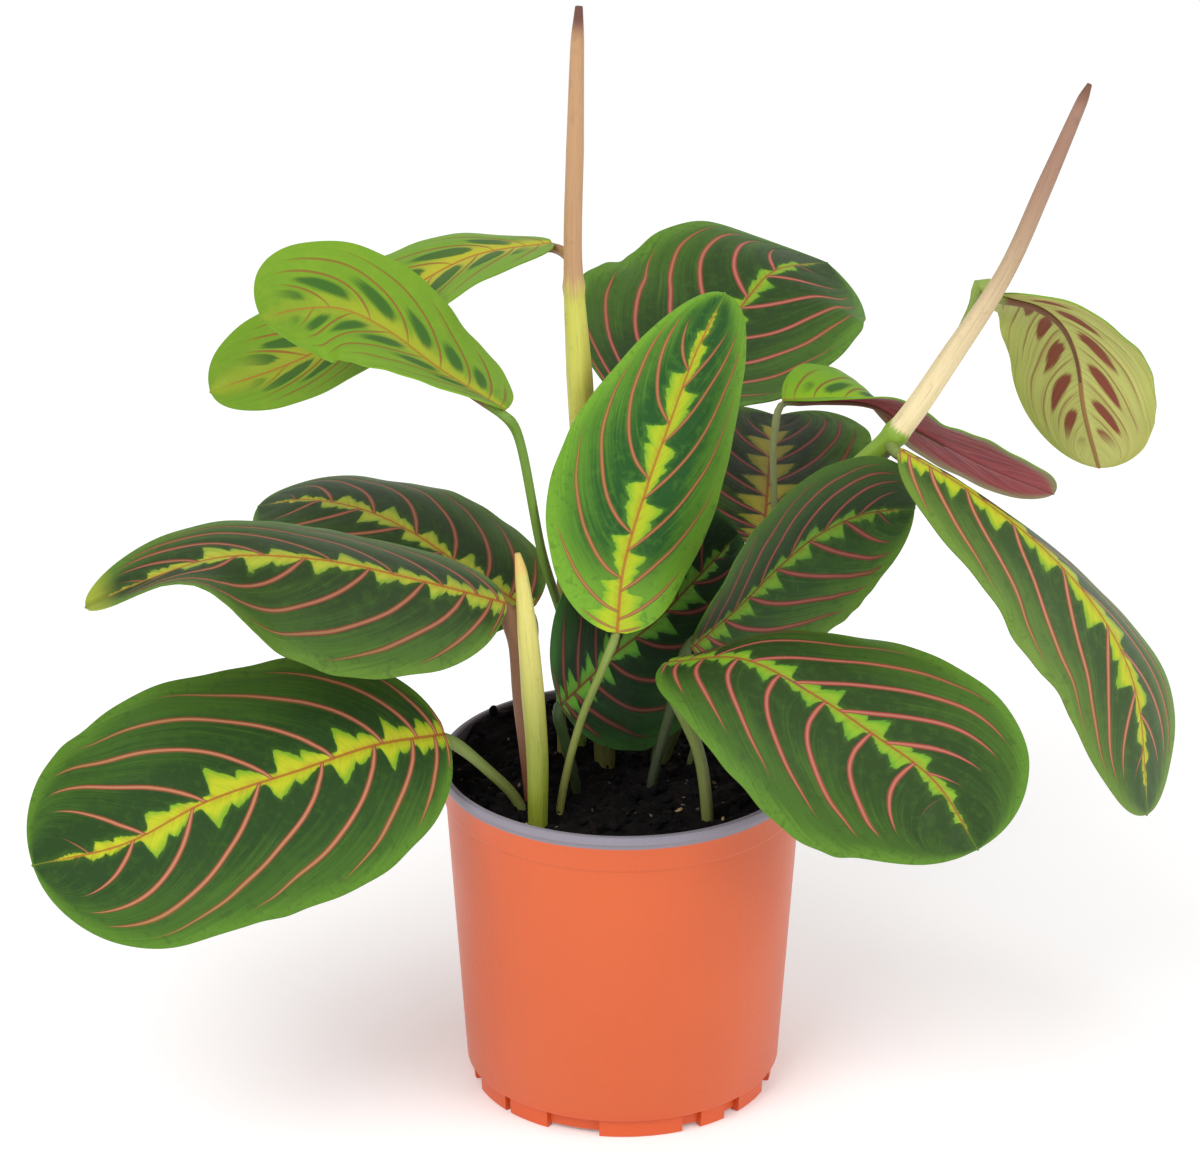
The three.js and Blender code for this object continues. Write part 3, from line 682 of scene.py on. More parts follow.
@dataclass(frozen=True)
class Leaf:
    """One leaf, in millimetres about the pot's axis, from the stalk's foot to the blade's tip."""

    name: str
    width: float
    rib: tuple[Point, ...]
    faces: tuple[Point, ...]
    left: Half
    right: Half
    stalk: tuple[Point, ...]
    radius: float
    finish: BladeFinish = MATURE
    on_cane: bool = False
    veins: float = 11.0
    spread: float = 1.3
    power: float = 2.5
    stalk_base: Colour = (104, 112, 52)
    stalk_top: Colour = (118, 136, 62)
    under_rib: Colour = (124, 82, 58)
    swelling: float = 0.16

    ROWS = 132
    COLUMNS = 68
    THICKNESS = 0.5
    OUTLINE_END = 0.997
    SLIM_START = 0.3
    PUCKER = 0.34
    WAVE = 0.9
    FRILL = 0.2
    GROOVE = 0.45
    RIB_SHARE = 0.6
    RIB_TAPER = 0.7
    SHARP = 55
    RING = 2.2
    SIDES = 16
    JOINT = 5

    @property
    def slot(self) -> str:
        """The name of a material slot, by the leaf's pattern."""
        return "young_leaf" if self.finish.pattern is Pattern.BLOTCHED else "mature_leaf"

    @property
    def piece_name(self) -> str:
        """The leaf's name in the scene."""
        return self.name.replace("leaf_", "").replace("_leaf", "") + "_leaf"

    def by_half(self, on_right: np.ndarray, read: Callable[[Half], Any]) -> np.ndarray:
        """Values that are read from the half that each point is on."""
        return np.where(on_right, read(self.right), read(self.left))

    def half_width(self, share: np.ndarray, on_right: np.ndarray) -> np.ndarray:
        """Share of the greatest half width at shares of the rib, with a small drawn-out tip.

        Args:
            share: The shares of the rib.
            on_right: Which of them belong to the right half.

        Returns:
            The share of the width.
        """
        swell = np.abs(2 * share / self.OUTLINE_END - 1) ** self.power
        slim = self.by_half(on_right, lambda side: side.slim) * ramp(share, self.SLIM_START, 1.0)
        body = np.sqrt(np.clip(1 - swell, 0, 1)) * (1 - slim)
        tip = 0.1 * np.clip((1 - share) / 0.05, 0, 1)
        uneven = 1 + 0.008 * np.sin(23 * share + self.width) + 0.005 * np.sin(47 * share + 2 * self.width)
        return np.maximum((body**4 + tip**4) ** 0.25, 0.008) * uneven

    def facing(self, route: Route, shares: np.ndarray) -> np.ndarray:
        """The way the blade faces at shares of the rib, square to it."""
        along = route.along(shares, ROW_SOFTENING)
        faces = stations(self.faces, shares)
        return unit(faces - (faces * along).sum(-1, keepdims=True) * along)

    def phase(self, half: Half, share: np.ndarray, across: np.ndarray) -> np.ndarray:
        """Counts the lateral veins at points of the blade.

        Args:
            half: The half that the points are on.
            share: Their shares along the rib.
            across: Their shares from rib to margin.

        Returns:
            The vein count, whole on each vein's line.
        """
        sweep = 1 + half.lean * across + across**3 * (2.2 + 2.5 * (1 - share) ** 2) + 3 * across**8
        origin = 1 - np.clip(1 - share, 0, 1) ** (1 / sweep)
        even = np.clip(origin, 0, 1) ** (1 / self.spread)
        return self.veins * np.arccos(1 - 2 * even) / math.pi + half.shift

    def surface(self, column: np.ndarray, share: np.ndarray) -> np.ndarray:
        """The blade's upper face.

        Args:
            column: From -1 at the left margin to 1 at the right.
            share: Share along the rib.

        Returns:
            Points in millimetres.
        """
        route = Route(self.rib)
        across = np.abs(column)
        half = self.width / 2
        on_right = column > 0
        reach = across * half * self.half_width(share, on_right)
        centre = route.at(share)
        along = route.along(share, ROW_SOFTENING)
        facing = self.facing(route, share)
        outward = np.cross(along, facing) * np.sign(column)[..., None]
        fold = np.radians(self.by_half(on_right, lambda side: stations(side.fold, share)))
        curl = self.by_half(on_right, lambda side: stations(side.curl, share))
        bend = np.radians(curl) / half
        bend = np.where(np.abs(bend) < 1e-5, 1e-5, bend)
        angle = fold + bend * reach
        lateral = (np.sin(angle) - np.sin(fold)) / bend
        lift = (np.cos(fold) - np.cos(angle)) / bend
        veins = self.by_half(on_right, lambda side: self.phase(side, share, across))
        envelope = ramp(across, 0.02, 0.25) * ramp(across, 1.0, 0.75) * ramp(share, 0.0, 0.12)
        swelling = np.abs(np.sin(math.pi * veins)) ** 0.7 - 0.6
        pucker = self.PUCKER * swelling * envelope * ramp(share, 1.0, 0.9)
        groove = -self.GROOVE * np.exp(-((reach / 1.3) ** 2)) * ramp(share, 1.0, 0.8)
        wave = self.WAVE * across**2 * np.sin(math.tau * (2.5 * share + self.width / 7) + column)
        frill = self.FRILL * across**4 * np.sin(math.tau * (7.3 * share + self.width / 5) + 2 * column)
        lift = lift + pucker + groove + (wave + frill) * np.sin(math.pi * share)
        return centre + outward * lateral[..., None] + facing * lift[..., None]

    def blade(self) -> bpy.types.Object:
        """Models the blade as a thin sheet with a thickness.

        Returns:
            The blade.
        """

        def place(across: np.ndarray, along: np.ndarray) -> np.ndarray:
            """Lays the sheet's points on the blade's surface."""
            return self.surface(2 * across - 1, self.row_share(along))

        piece = laid_grid(f"{self.piece_name}_blade", self.COLUMNS, self.ROWS, place)
        self._mark(piece)
        for side in ("top", "bottom"):
            piece.data.materials.append(material(self.finish, side))
        thickness = self.THICKNESS * MM
        modify(piece, "SOLIDIFY", thickness=thickness, offset=-1, use_even_offset=False, material_offset=1)
        bpy.ops.object.shade_smooth_by_angle(angle=math.radians(self.SHARP))
        return piece

    @staticmethod
    def row_share(along: np.ndarray) -> np.ndarray:
        """Shares along the rib for evenly spaced rows, closer at both ends."""
        return (1 - np.cos(math.pi * along)) / 2

    def _mark(self, piece: bpy.types.Object) -> None:
        """Writes the vein count and the distances from rib and base to the blade's points.

        Args:
            piece: The sheet, before it has its thickness.
        """
        rows, columns = self.ROWS + 1, self.COLUMNS + 1
        across = np.broadcast_to(np.linspace(-1, 1, columns)[None], (rows, columns))
        share = np.broadcast_to(self.row_share(np.linspace(0, 1, rows))[:, None], (rows, columns))
        size = np.abs(across)
        level = np.zeros_like(size)
        left, right = (self.phase(side, share, size) for side in (self.left, self.right))
        left_root, right_root = (self.phase(side, share, level) for side in (self.left, self.right))
        points = np.array([v.co for v in piece.data.vertices]).reshape(rows, columns, 3) / MM
        down, over = np.gradient(points, axis=(0, 1))
        own = np.where(across > 0, right, left)
        own_down, own_over = np.gradient(own, axis=(0, 1))
        first = np.where(across > 0, np.roll(own_over, -1, 1), np.roll(own_over, 1, 1))
        own_over = np.where(size < 3 / columns, first, own_over)
        high = (down * down).sum(-1)
        wide = (over * over).sum(-1)
        skew = (down * over).sum(-1)
        area = np.maximum(high * wide - skew * skew, 1e-9)
        slope = (own_down**2 * wide - 2 * own_down * own_over * skew + own_over**2 * high) / area
        spacing = np.clip(1 / np.sqrt(np.maximum(slope, 1e-6)), 0.5, 30)
        half = self.width / 2 * self.half_width(share, across > 0)
        seed = np.full_like(size, self.width * 3.7 + self.rib[0][0] * 0.31)
        write_points(piece, "place", across * half, share, half)
        write_points(piece, "veins", left, right, spacing)
        write_points(piece, "roots", left_root, right_root, seed)

    def stem(self) -> bpy.types.Object:
        """Models the stalk with the rib that it runs into under the blade.

        Returns:
            The stalk.
        """
        rib = Route(self.rib)
        shares = np.array([0, 0.06, 0.15, 0.3, 0.45, self.RIB_SHARE])
        drop = self.GROOVE + 0.15 + self.radius * 1.12 * (1 - self.RIB_TAPER * shares / self.RIB_SHARE)
        under = rib.at(shares) - self.facing(rib, shares) * drop[:, None]
        foot = [] if self.on_cane else [(*self.stalk[0][:2], self.stalk[0][2] - PLANT_DEPTH)]
        route = Route([*foot, *self.stalk, *under])
        free = 1 - rib.length * self.RIB_SHARE / route.length

        def radius(share: np.ndarray, angle: np.ndarray) -> np.ndarray:
            """The stalk's radius: a joint below the blade, then a taper along the rib."""
            taper = np.where(share < free, 1, 1 - self.RIB_TAPER * (share - free) / (1 - free))
            away = (share - free) * route.length / self.JOINT + 1
            joint = 1 + self.swelling * np.exp(-(away**2))
            flute = 1 + 0.035 * np.cos(5 * angle)
            return self.radius * taper * joint * flute

        steps = max(int(route.length / self.RING), 40)
        name = f"{self.piece_name}_stalk"
        finish = StemFinish(name, self.stalk_base, self.stalk_top, 0.1, free, self.under_rib, free + 0.03)
        return limb(name, route, radius, steps, self.SIDES, finish)


@dataclass(frozen=True)
class StemFinish:
    """A smooth or dry stalk whose colour runs from its foot to its top."""

    name: str
    base: Colour
    top: Colour
    turn_start: float = 0.1
    turn_end: float = 1.0
    tip: Colour = (120, 80, 50)
    tip_share: float = 2.0
    foot: Colour = (92, 130, 40)
    foot_share: float = -1.0
    # Painted shade on the stem's low part under the leaves: how strong it is, and its colour.
    old_base: float = 0.0
    old: Colour = (42, 44, 28)
    shade: Colour = (70, 62, 34)
    roughness: float = 0.45

    def make(self) -> bpy.types.Material:
        """Builds the material from the piece's own map, around and along."""
        shader = Shader(self.name)
        uv = shader.add("ShaderNodeUVMap", {"uv_map": "UVMap"})
        parts = shader.add("ShaderNodeSeparateXYZ", inputs={0: uv})
        turn, along = parts.of("X") * math.tau, parts.of("Y")
        place = shader.vector(turn.sine() * 3.0, along * 5.0, turn.cosine() * 3.0)
        fibre = shader.noise(place, 2.2, 4.0, 0.62)
        spot = shader.noise(shader.object_place(), 260.0, 3.0, 0.6)
        colour = shader.blend(self.base, self.top, along + fibre.swing(0.06), self.turn_start, self.turn_end)
        shade = shader.mix(0.5, colour, self.shade)
        colour = shader.blend(colour, shade, fibre, 0.56, 0.74, 0.55)
        colour = shader.blend(colour, shade, spot, 0.58, 0.72, 0.3)
        colour = shader.blend(colour, self.tip, along, self.tip_share - 0.02, self.tip_share + 0.01)
        if self.foot_share > 0:
            low, high = self.foot_share + 0.004, self.foot_share - 0.004
            colour = shader.blend(colour, self.foot, along + fibre.swing(0.02), low, high)
        # Darker low on the stem towards the soil: painted shade.
        colour = shader.blend(colour, self.old, along + fibre.swing(0.1), 0.34, 0.2, self.old_base)
        height = fibre * 0.7 + spot * 0.3
        return shader.finish(colour, self.roughness + fibre.swing(0.2), height, 0.0005)


MATERIALS: dict[str, bpy.types.Material] = {}


def material(finish: BladeFinish, side: str) -> bpy.types.Material:
    """One side's material of a blade finish, made once.

    Args:
        finish: The finish.
        side: "top" or "bottom".

    Returns:
        The material.
    """
    key = f"{finish.name}_{side}"
    if key not in MATERIALS:
        MATERIALS[key] = finish.top() if side == "top" else finish.bottom()
    return MATERIALS[key]


def deselect() -> None:
    """Leaves object mode with nothing selected."""
    if bpy.context.object is not None and bpy.context.object.mode != "OBJECT":
        bpy.ops.object.mode_set(mode="OBJECT")
    bpy.ops.object.select_all(action="DESELECT")


def activate(piece: bpy.types.Object) -> None:
    """Makes a piece the only selected one."""
    deselect()
    piece.select_set(True)
    bpy.context.view_layer.objects.active = piece


@contextmanager
def editing(piece: bpy.types.Object) -> Iterator[None]:
    """Edit mode with the whole of one piece selected."""
    activate(piece)
    bpy.ops.object.mode_set(mode="EDIT")
    bpy.ops.mesh.select_all(action="SELECT")
    yield
    bpy.ops.object.mode_set(mode="OBJECT")


def modify(piece: bpy.types.Object, kind: str, **settings: Any) -> None:
    """Applies a modifier to a piece.

    Args:
        piece: The piece.
        kind: The modifier's type.
        settings: Its settings by name.
    """
    activate(piece)
    modifier = piece.modifiers.new(kind.lower(), kind)
    for key, value in settings.items():
        setattr(modifier, key, value)
    bpy.ops.object.modifier_apply(modifier=modifier.name)


def write_points(piece: bpy.types.Object, name: str, *values: np.ndarray) -> None:
    """Writes three numbers to each point of a piece as an attribute."""
    layer = piece.data.attributes.new(name, "FLOAT_VECTOR", "POINT")
    layer.data.foreach_set("vector", np.stack(values, -1).reshape(-1).astype(np.float32))


def laid_grid(name: str, columns: int, rows: int, place: Place) -> bpy.types.Object:
    """Adds a grid and lays its points on a surface.

    Args:
        name: The piece's name.
        columns: How many faces it has across.
        rows: How many faces it has along.
        place: Gives the points about the pot's axis, in millimetres, for shares across and along.

    Returns:
        The piece, with its map across and along.
    """
    deselect()
    bpy.ops.mesh.primitive_grid_add(x_subdivisions=columns, y_subdivisions=rows, size=1, calc_uvs=True)
    piece = bpy.context.object
    piece.name = name
    piece.data.name = name
    flat = np.array([v.co for v in piece.data.vertices])
    points = (place(flat[:, 0] + 0.5, flat[:, 1] + 0.5) + AXIS) * MM
    piece.data.vertices.foreach_set("co", points.reshape(-1).astype(np.float32))
    piece.data.update()
    bpy.ops.object.shade_smooth()
    return piece


def close_up(piece: bpy.types.Object, reach: float = 1e-5) -> None:
    """Merges a piece's points within a reach in metres, so that its seam is gone, and fills its open ends."""
    with editing(piece):
        bpy.ops.mesh.remove_doubles(threshold=reach)
        bpy.ops.mesh.fill_holes(sides=0)


def limb(name: str, route: Route, radius: Place, steps: int, sides: int,
         finish: StemFinish) -> bpy.types.Object:
    """Models a round limb along a route.

    Args:
        name: The piece's name.
        route: Its middle line, in millimetres about the pot's axis.
        radius: Its radius for shares along and angles around.
        steps: How many rings of faces it has.
        sides: How many faces it has around.
        finish: Its finish.

    Returns:
        The limb, closed at both ends.
    """
    shares = np.linspace(0, 1, steps + 1)
    centres = route.at(shares)
    ways = route.along(shares)
    side = unit(np.cross(np.array([0.0, 1.0, 0.0]), ways[0]))
    frames = []
    for way in ways:
        side = unit(side - side.dot(way) * way)
        frames.append((side, np.cross(way, side)))
    sides_along = np.array([f[0] for f in frames])
    ups_along = np.array([f[1] for f in frames])

    def place(across: np.ndarray, along: np.ndarray) -> np.ndarray:
        """Lays the grid's points round the route."""
        row = np.rint(along * steps).astype(int)
        angle = math.tau * across
        size = radius(along, angle)
        turned = sides_along[row] * np.cos(angle)[:, None] + ups_along[row] * np.sin(angle)[:, None]
        return centres[row] + turned * size[:, None]

    piece = laid_grid(name, sides, steps, place)
    close_up(piece)
    piece.data.materials.append(finish.make())
    return piece


@dataclass(frozen=True)
class BareStem:
    """A stem without a leaf: its points with the radius at each, in millimetres about the pot's axis."""

    name: str
    piece_name: str
    slot: str
    route: tuple[tuple[float, float, float, float], ...]
    finish: StemFinish
    knots: tuple[float, ...] = ()

    RING = 1.6
    SIDES = 28
    KNOT_RISE = 0.14
    KNOT_REACH = 2.2

    def build(self) -> bpy.types.Object:
        """Models the stem.

        Returns:
            The stem.
        """
        first = self.route[0]
        radii = np.array([first[3], *[p[3] for p in self.route]])
        route = Route([(first[0], first[1], first[2] - PLANT_DEPTH), *self.route])

        def radius(share: np.ndarray, angle: np.ndarray) -> np.ndarray:
            """The radius between the given ones, with rings at the knots and shallow flutes."""
            size = np.interp(route.mark(share), np.arange(len(radii)), radii)
            away = [(share - knot) * route.length / self.KNOT_REACH for knot in self.knots]
            rings = sum(self.KNOT_RISE * np.exp(-(gap**2)) for gap in away)
            return size * (1 + rings + 0.03 * np.cos(7 * angle + 5 * share) + 0.02 * np.cos(3 * angle))

        steps = int(route.length / self.RING)
        return limb(self.piece_name, route, radius, steps, self.SIDES, self.finish)


@dataclass
class Pot:
    """The thin plastic nursery pot, in millimetres over the floor and about its axis."""

    height: float = 113.0
    rim: float = 60.0
    lip_height: float = 3.2
    lip_width: float = 1.1
    wall: float = 1.1
    foot_wall: float = 51.6
    step_below: float = 12.5
    step_out: float = 0.6
    foot: float = 7.0
    foot_radius: float = 49.5
    foot_ring: float = 3.0
    skirt: float = 47.6
    skirt_clear: float = 1.5
    steps: int = 144
    pads: tuple[tuple[float, float], ...] = ((-70, -51), (-48, -30), (-9, 23), (31, 42), (50, 68), (78, 100))
    hole_radius: float = 3.2
    hole_circle: float = 32.0
    hole_count: int = 8
    hole_sides: int = 28
    sharp: float = 32.0

    def _profile(self) -> list[tuple[float, float]]:
        """The wall's section: from the middle of the base up the outside, and down the inside."""
        step_z = self.height - self.step_below
        lip_z = self.height - self.lip_height
        top = self.rim - self.lip_width
        stepped = top - 0.5
        return [
            (0.0, self.foot - self.wall), (self.skirt - self.wall, self.foot - self.wall),
            (self.skirt - self.wall, self.skirt_clear), (self.skirt, self.skirt_clear),
            (self.skirt, self.foot - 0.6), (self.foot_wall - 0.5, self.foot - 0.2),
            (self.foot_wall, self.foot + 0.6), (stepped - self.step_out, step_z - 0.6),
            (stepped - 0.1, step_z), (stepped + 0.02, step_z + 0.8), (top, lip_z - 0.5),
            (top + 0.25, lip_z), (self.rim - 0.35, lip_z + 0.15), (self.rim, lip_z + 0.55),
            (self.rim, self.height - 0.75), (self.rim - 0.22, self.height - 0.22),
            (self.rim - 0.75, self.height),
            (top - self.wall + 0.5, self.height - 0.05), (top - self.wall, self.height - 0.6),
            (stepped - self.step_out - self.wall, step_z - 1), (self.foot_wall - self.wall, self.foot + 1.2),
            (self.foot_wall - self.wall - 1, self.foot + 0.2), (0.0, self.foot + 0.2),
        ]

    def build(self) -> bpy.types.Object:
        """Models the pot.

        Returns:
            The pot.
        """
        deselect()
        bpy.ops.mesh.primitive_circle_add(vertices=3, radius=MM)
        piece = bpy.context.object
        piece.name = "nursery_pot"
        piece.data.clear_geometry()
        points = [((r + AXIS[0]) * MM, AXIS[1] * MM, z * MM) for r, z in self._profile()]
        piece.data.from_pydata(points, [(i, i + 1) for i in range(len(points) - 1)], [])
        with editing(piece):
            bpy.ops.mesh.spin(steps=self.steps, angle=math.tau, center=tuple(AXIS * MM), axis=(0, 0, 1))
            bpy.ops.mesh.select_all(action="SELECT")
            bpy.ops.mesh.remove_doubles(threshold=1e-6)
            bpy.ops.mesh.normals_make_consistent(inside=False)
        for turn in (0, 180):
            for start, end in self.pads:
                self._join(piece, self._pad(start + turn, end + turn), "UNION")
        for x, y in self._holes():
            self._join(piece, self._hole(x + AXIS[0], y + AXIS[1]), "DIFFERENCE")
        self._dress(piece)
        return piece

    def _holes(self) -> list[tuple[float, float]]:
        """Where the drain holes are: one in the middle and a ring."""
        turns = [math.tau * (i + 0.5) / self.hole_count for i in range(self.hole_count)]
        reach = self.hole_circle
        return [(0.0, 0.0), *((reach * math.cos(turn), reach * math.sin(turn)) for turn in turns)]

    def _hole(self, x: float, y: float) -> bpy.types.Object:
        """A cutter for one drain hole."""
        deselect()
        size = {"radius": self.hole_radius * MM, "depth": self.foot * 4 * MM}
        bpy.ops.mesh.primitive_cylinder_add(vertices=self.hole_sides, location=(x * MM, y * MM, 0), **size)
        return bpy.context.object

    def _pad(self, start: float, end: float) -> bpy.types.Object:
        """One foot: a short arc that stands on the floor.

        Args:
            start: Where it starts, in degrees from the pot's front.
            end: Where it ends.

        Returns:
            The foot.
        """
        deselect()
        steps = max(int((end - start) / 2.5), 3)
        angles = np.radians(np.linspace(start, end, steps + 1) - 90)
        inner, outer, top = self.foot_radius - self.foot_ring, self.foot_radius, self.foot
        section = [(inner, 0.0), (outer - 0.5, 0.0), (outer, 0.5), (outer + 0.3, top), (inner, top)]
        x, y, _ = AXIS
        points = [(x + r * math.cos(a), y + r * math.sin(a), z) for a in angles for r, z in section]
        count = len(section)
        faces = [tuple(range(count))[::-1], tuple(steps * count + k for k in range(count))]
        for i in range(steps):
            for k in range(count):
                near, far = i * count + k, i * count + (k + 1) % count
                faces.append((near, far, far + count, near + count))
        bpy.ops.mesh.primitive_cube_add(size=MM)
        pad = bpy.context.object
        pad.data.clear_geometry()
        pad.data.from_pydata([tuple(c * MM for c in point) for point in points], [], faces)
        with editing(pad):
            bpy.ops.mesh.normals_make_consistent(inside=False)
        return pad

    @staticmethod
    def _join(piece: bpy.types.Object, other: bpy.types.Object, operation: str) -> None:
        """Unites or cuts a piece with another, which is then removed."""
        modify(piece, "BOOLEAN", operation=operation, solver="EXACT", object=other)
        bpy.data.objects.remove(other)

    def _dress(self, piece: bpy.types.Object) -> None:
        """Gives the outside and the grey inside their finishes, by place."""
        piece.data.materials.clear()
        piece.data.materials.append(PotFinish().outside())
        piece.data.materials.append(PotFinish().inside())
        middle = Vector(AXIS * MM)
        for face in piece.data.polygons:
            spot = face.center - middle
            radius, height = spot.xy.length / MM, spot.z / MM
            wall = self.foot_wall + (self.rim - self.lip_width - self.foot_wall) * height / self.height
            within = radius < wall - self.wall * 0.75 and height > self.foot
            lip = height > self.height - self.lip_height + 0.3
            face.material_index = 1 if within or lip else 0
        activate(piece)
        bpy.ops.object.shade_smooth_by_angle(angle=math.radians(self.sharp))


@dataclass(frozen=True)
class PotFinish:
    """Thin satin plastic, terracotta outside and grey inside."""

    clay: Colour = (206, 92, 44)
    clay_low: Colour = (210, 88, 40)
    clay_cloud: Colour = (196, 84, 44)
    clay_grain: Colour = (182, 76, 42)
    grey: Colour = (132, 127, 137)
    grey_cloud: Colour = (126, 122, 138)
    grey_grain: Colour = (176, 172, 184)
    grey_from: float = 0.1081

    RELIEF = 0.00012

    def _grain(self, shader: Shader) -> tuple[Term, Term]:
        """Broad clouds and a fine grain."""
        place = shader.object_place()
        return shader.noise(place, 28.0, 3.0), shader.noise(place, 900.0, 2.0, 0.6)

    def outside(self) -> bpy.types.Material:
        """The terracotta-coloured outside."""
        shader = Shader("pot_clay_plastic")
        cloud, grain = self._grain(shader)
        height = shader.add("ShaderNodeSeparateXYZ", inputs={0: shader.object_place()}).of("Z")
        colour = shader.blend(self.clay, self.clay_low, height, 0.012, 0.004)
        colour = shader.blend(colour, self.clay_cloud, cloud, 0.35, 0.7, 0.25)
        colour = shader.blend(colour, self.clay_grain, grain, 0.6, 0.75, 0.12)
        colour = shader.blend(colour, self.grey, height, self.grey_from, self.grey_from + 0.0004)
        relief = grain + cloud * 0.4
        return shader.finish(colour, 0.38 + cloud.swing(0.1), relief, self.RELIEF, Specular_IOR_Level=0.4)

    def inside(self) -> bpy.types.Material:
        """The grey inside and the top of the lip."""
        shader = Shader("pot_grey_plastic")
        cloud, grain = self._grain(shader)
        colour = shader.blend(self.grey, self.grey_cloud, cloud, 0.3, 0.7, 0.35)
        colour = shader.blend(colour, self.grey_grain, grain, 0.6, 0.75, 0.15)
        return shader.finish(colour, 0.42, grain, self.RELIEF)


@dataclass
class Soil:
    """The potting soil: a bed with a heap, lumps and crumbs, in millimetres about the pot's axis."""

    bottom: float = 7.55
    foot_radius: float = 49.15
    top_radius: float = 56.5
    heap: tuple[float, float, float, float] = (-24.0, 26.0, 6.5, 20.0)
    bank: tuple[float, float, float] = (138.0, 4.5, 26.0)
    bank_start: float = 36.0
    bank_end: float = 54.0
    lump: float = 0.7
    clod: float = 1.3
    grain: float = 0.5
    columns: int = 200
    rings: int = 56
    crumbs: int = 620
    crumb_sizes: tuple[float, float] = (0.5, 2.0)
    flakes: tuple[tuple[float, float], ...] = (
        (1, -52), (4, -51.5), (-3, -51), (0, -49.5), (9, -50.5), (-37, -35), (-35, -37.5), (-33, -39),
        (-31, -36), (32, -33), (18, -26),
    )
    seed: int = 11

    def height(self, x: np.ndarray | float, y: np.ndarray | float) -> np.ndarray | float:
        """The bed's height with its heap and broad lumps."""
        heap_x, heap_y, heap_height, spread = self.heap
        away = (x - heap_x) ** 2 + (y - heap_y) ** 2
        heap = heap_height * np.exp(-away / (2 * spread**2))
        turn, bank_height, bank_half = self.bank
        off = np.degrees(np.arctan2(y, x)) - turn
        outer = ramp(np.hypot(x, y), self.bank_start, self.bank_end)
        bank = bank_height * np.exp(-((off / bank_half) ** 2)) * outer
        lumps = np.sin(0.47 * x + 1.3) * np.cos(0.41 * y) + np.sin(0.29 * x - 0.53 * y)
        return SOIL_LEVEL + heap + bank + self.lump * lumps

    def _clods(self, x: np.ndarray, y: np.ndarray) -> np.ndarray:
        """Finer clods over the bed."""
        spots = [Vector((a * 0.16, b * 0.16, 3.0)) for a, b in zip(x, y)]
        broad = np.array([noise.hetero_terrain(s, 0.6, 2.1, 4, 0.3) for s in spots])
        fine = np.array([noise.noise(s * 4.6) for s in spots])
        return (broad - broad.mean()) * self.clod + fine * self.grain

    def build(self) -> bpy.types.Object:
        """Models the soil.

        Returns:
            The soil.
        """
        edge, bottom = self.foot_radius, self.bottom
        foot = ((0.0, bottom), (edge, bottom), (edge + 1.0, bottom + 1.0))

        def place(across: np.ndarray, along: np.ndarray) -> np.ndarray:
            """Lays rings from the bottom's middle, up the side and in to the middle of the top."""
            row = np.rint(along * (self.rings + len(foot))).astype(int)
            angle = -math.tau * across
            inward = np.clip((row - len(foot)) / self.rings, 0, 1)
            low = [row == i for i in range(len(foot))]
            radius = np.select(low, [r for r, _ in foot], self.top_radius * (1 - inward**1.1))
            x, y = radius * np.cos(angle), radius * np.sin(angle)
            top = self.height(x, y) + self._clods(x, y) * ramp(inward, 0.0, 0.06)
            return np.stack([x, y, np.select(low, [z for _, z in foot], top)], -1)

        piece = laid_grid("potting_soil", self.columns, self.rings + len(foot), place)
        close_up(piece, 4e-5)
        crumbs = self._crumbs()
        activate(piece)
        crumbs.select_set(True)
        bpy.ops.object.join()
        with editing(piece):
            bpy.ops.mesh.normals_make_consistent(inside=False)
        piece.data.materials.append(SoilFinish().make())
        return piece

    def _crumbs(self) -> bpy.types.Object:
        """Scatters crumbs over the bed, each a lumpy ball with its own size and turn, and a few dry flakes.

        Returns:
            The crumbs and flakes as one piece, with an attribute that is 1 on the flakes.
        """
        deselect()
        bpy.ops.mesh.primitive_ico_sphere_add(subdivisions=2, radius=1)
        piece = bpy.context.object
        ball = np.array([v.co for v in piece.data.vertices])
        faces = np.array([tuple(f.vertices) for f in piece.data.polygons])
        draw = np.random.default_rng(self.seed)
        shapes = []

        def lay(shape: np.ndarray, x: float, y: float, lift: float) -> None:
            """Adds a reshaped ball at a spot on the bed."""
            shapes.append(shape + np.array([x, y, self.height(x, y) + lift]) + AXIS)

        small, large = self.crumb_sizes
        for _ in range(self.crumbs):
            radius = (self.top_radius - 3) * math.sqrt(draw.random())
            angle = math.tau * draw.random()
            size = small + (large - small) * draw.random() ** 3
            stretch = draw.uniform(0.6, 1.4, 3)
            basis, _ = np.linalg.qr(draw.normal(size=(3, 3)))
            lumps = 1 + 0.22 * np.sin(ball @ draw.uniform(-4, 4, 3) + 6 * draw.random())
            shape = (ball * lumps[:, None] * stretch * size) @ basis.T
            lay(shape, radius * math.cos(angle), radius * math.sin(angle), 0.2 * size)
        for x, y in self.flakes:
            turn = math.tau * draw.random()
            extent = np.array([draw.uniform(*span) for span in ((0.7, 1.9), (0.35, 0.8), (0.25, 0.5))])
            shape = ball * extent * (1 + 0.2 * np.sin(ball @ draw.uniform(-5, 5, 3)))[:, None]
            shape[:, 2] += draw.uniform(0.0, 0.15) * shape[:, 0] ** 2
            cos, sin = math.cos(turn), math.sin(turn)
            lay(shape @ np.array([[cos, sin, 0], [-sin, cos, 0], [0, 0, 1]]), x, y, 1.0)
        triangles = np.concatenate([faces + i * len(ball) for i in range(len(shapes))])
        piece.data.clear_geometry()
        piece.data.from_pydata((np.concatenate(shapes) * MM).tolist(), [], triangles.tolist())
        dry = (np.arange(len(shapes) * len(ball)) >= self.crumbs * len(ball)).astype(float)
        write_points(piece, "chaff", dry, dry, dry)
        activate(piece)
        bpy.ops.object.shade_smooth()
        return piece


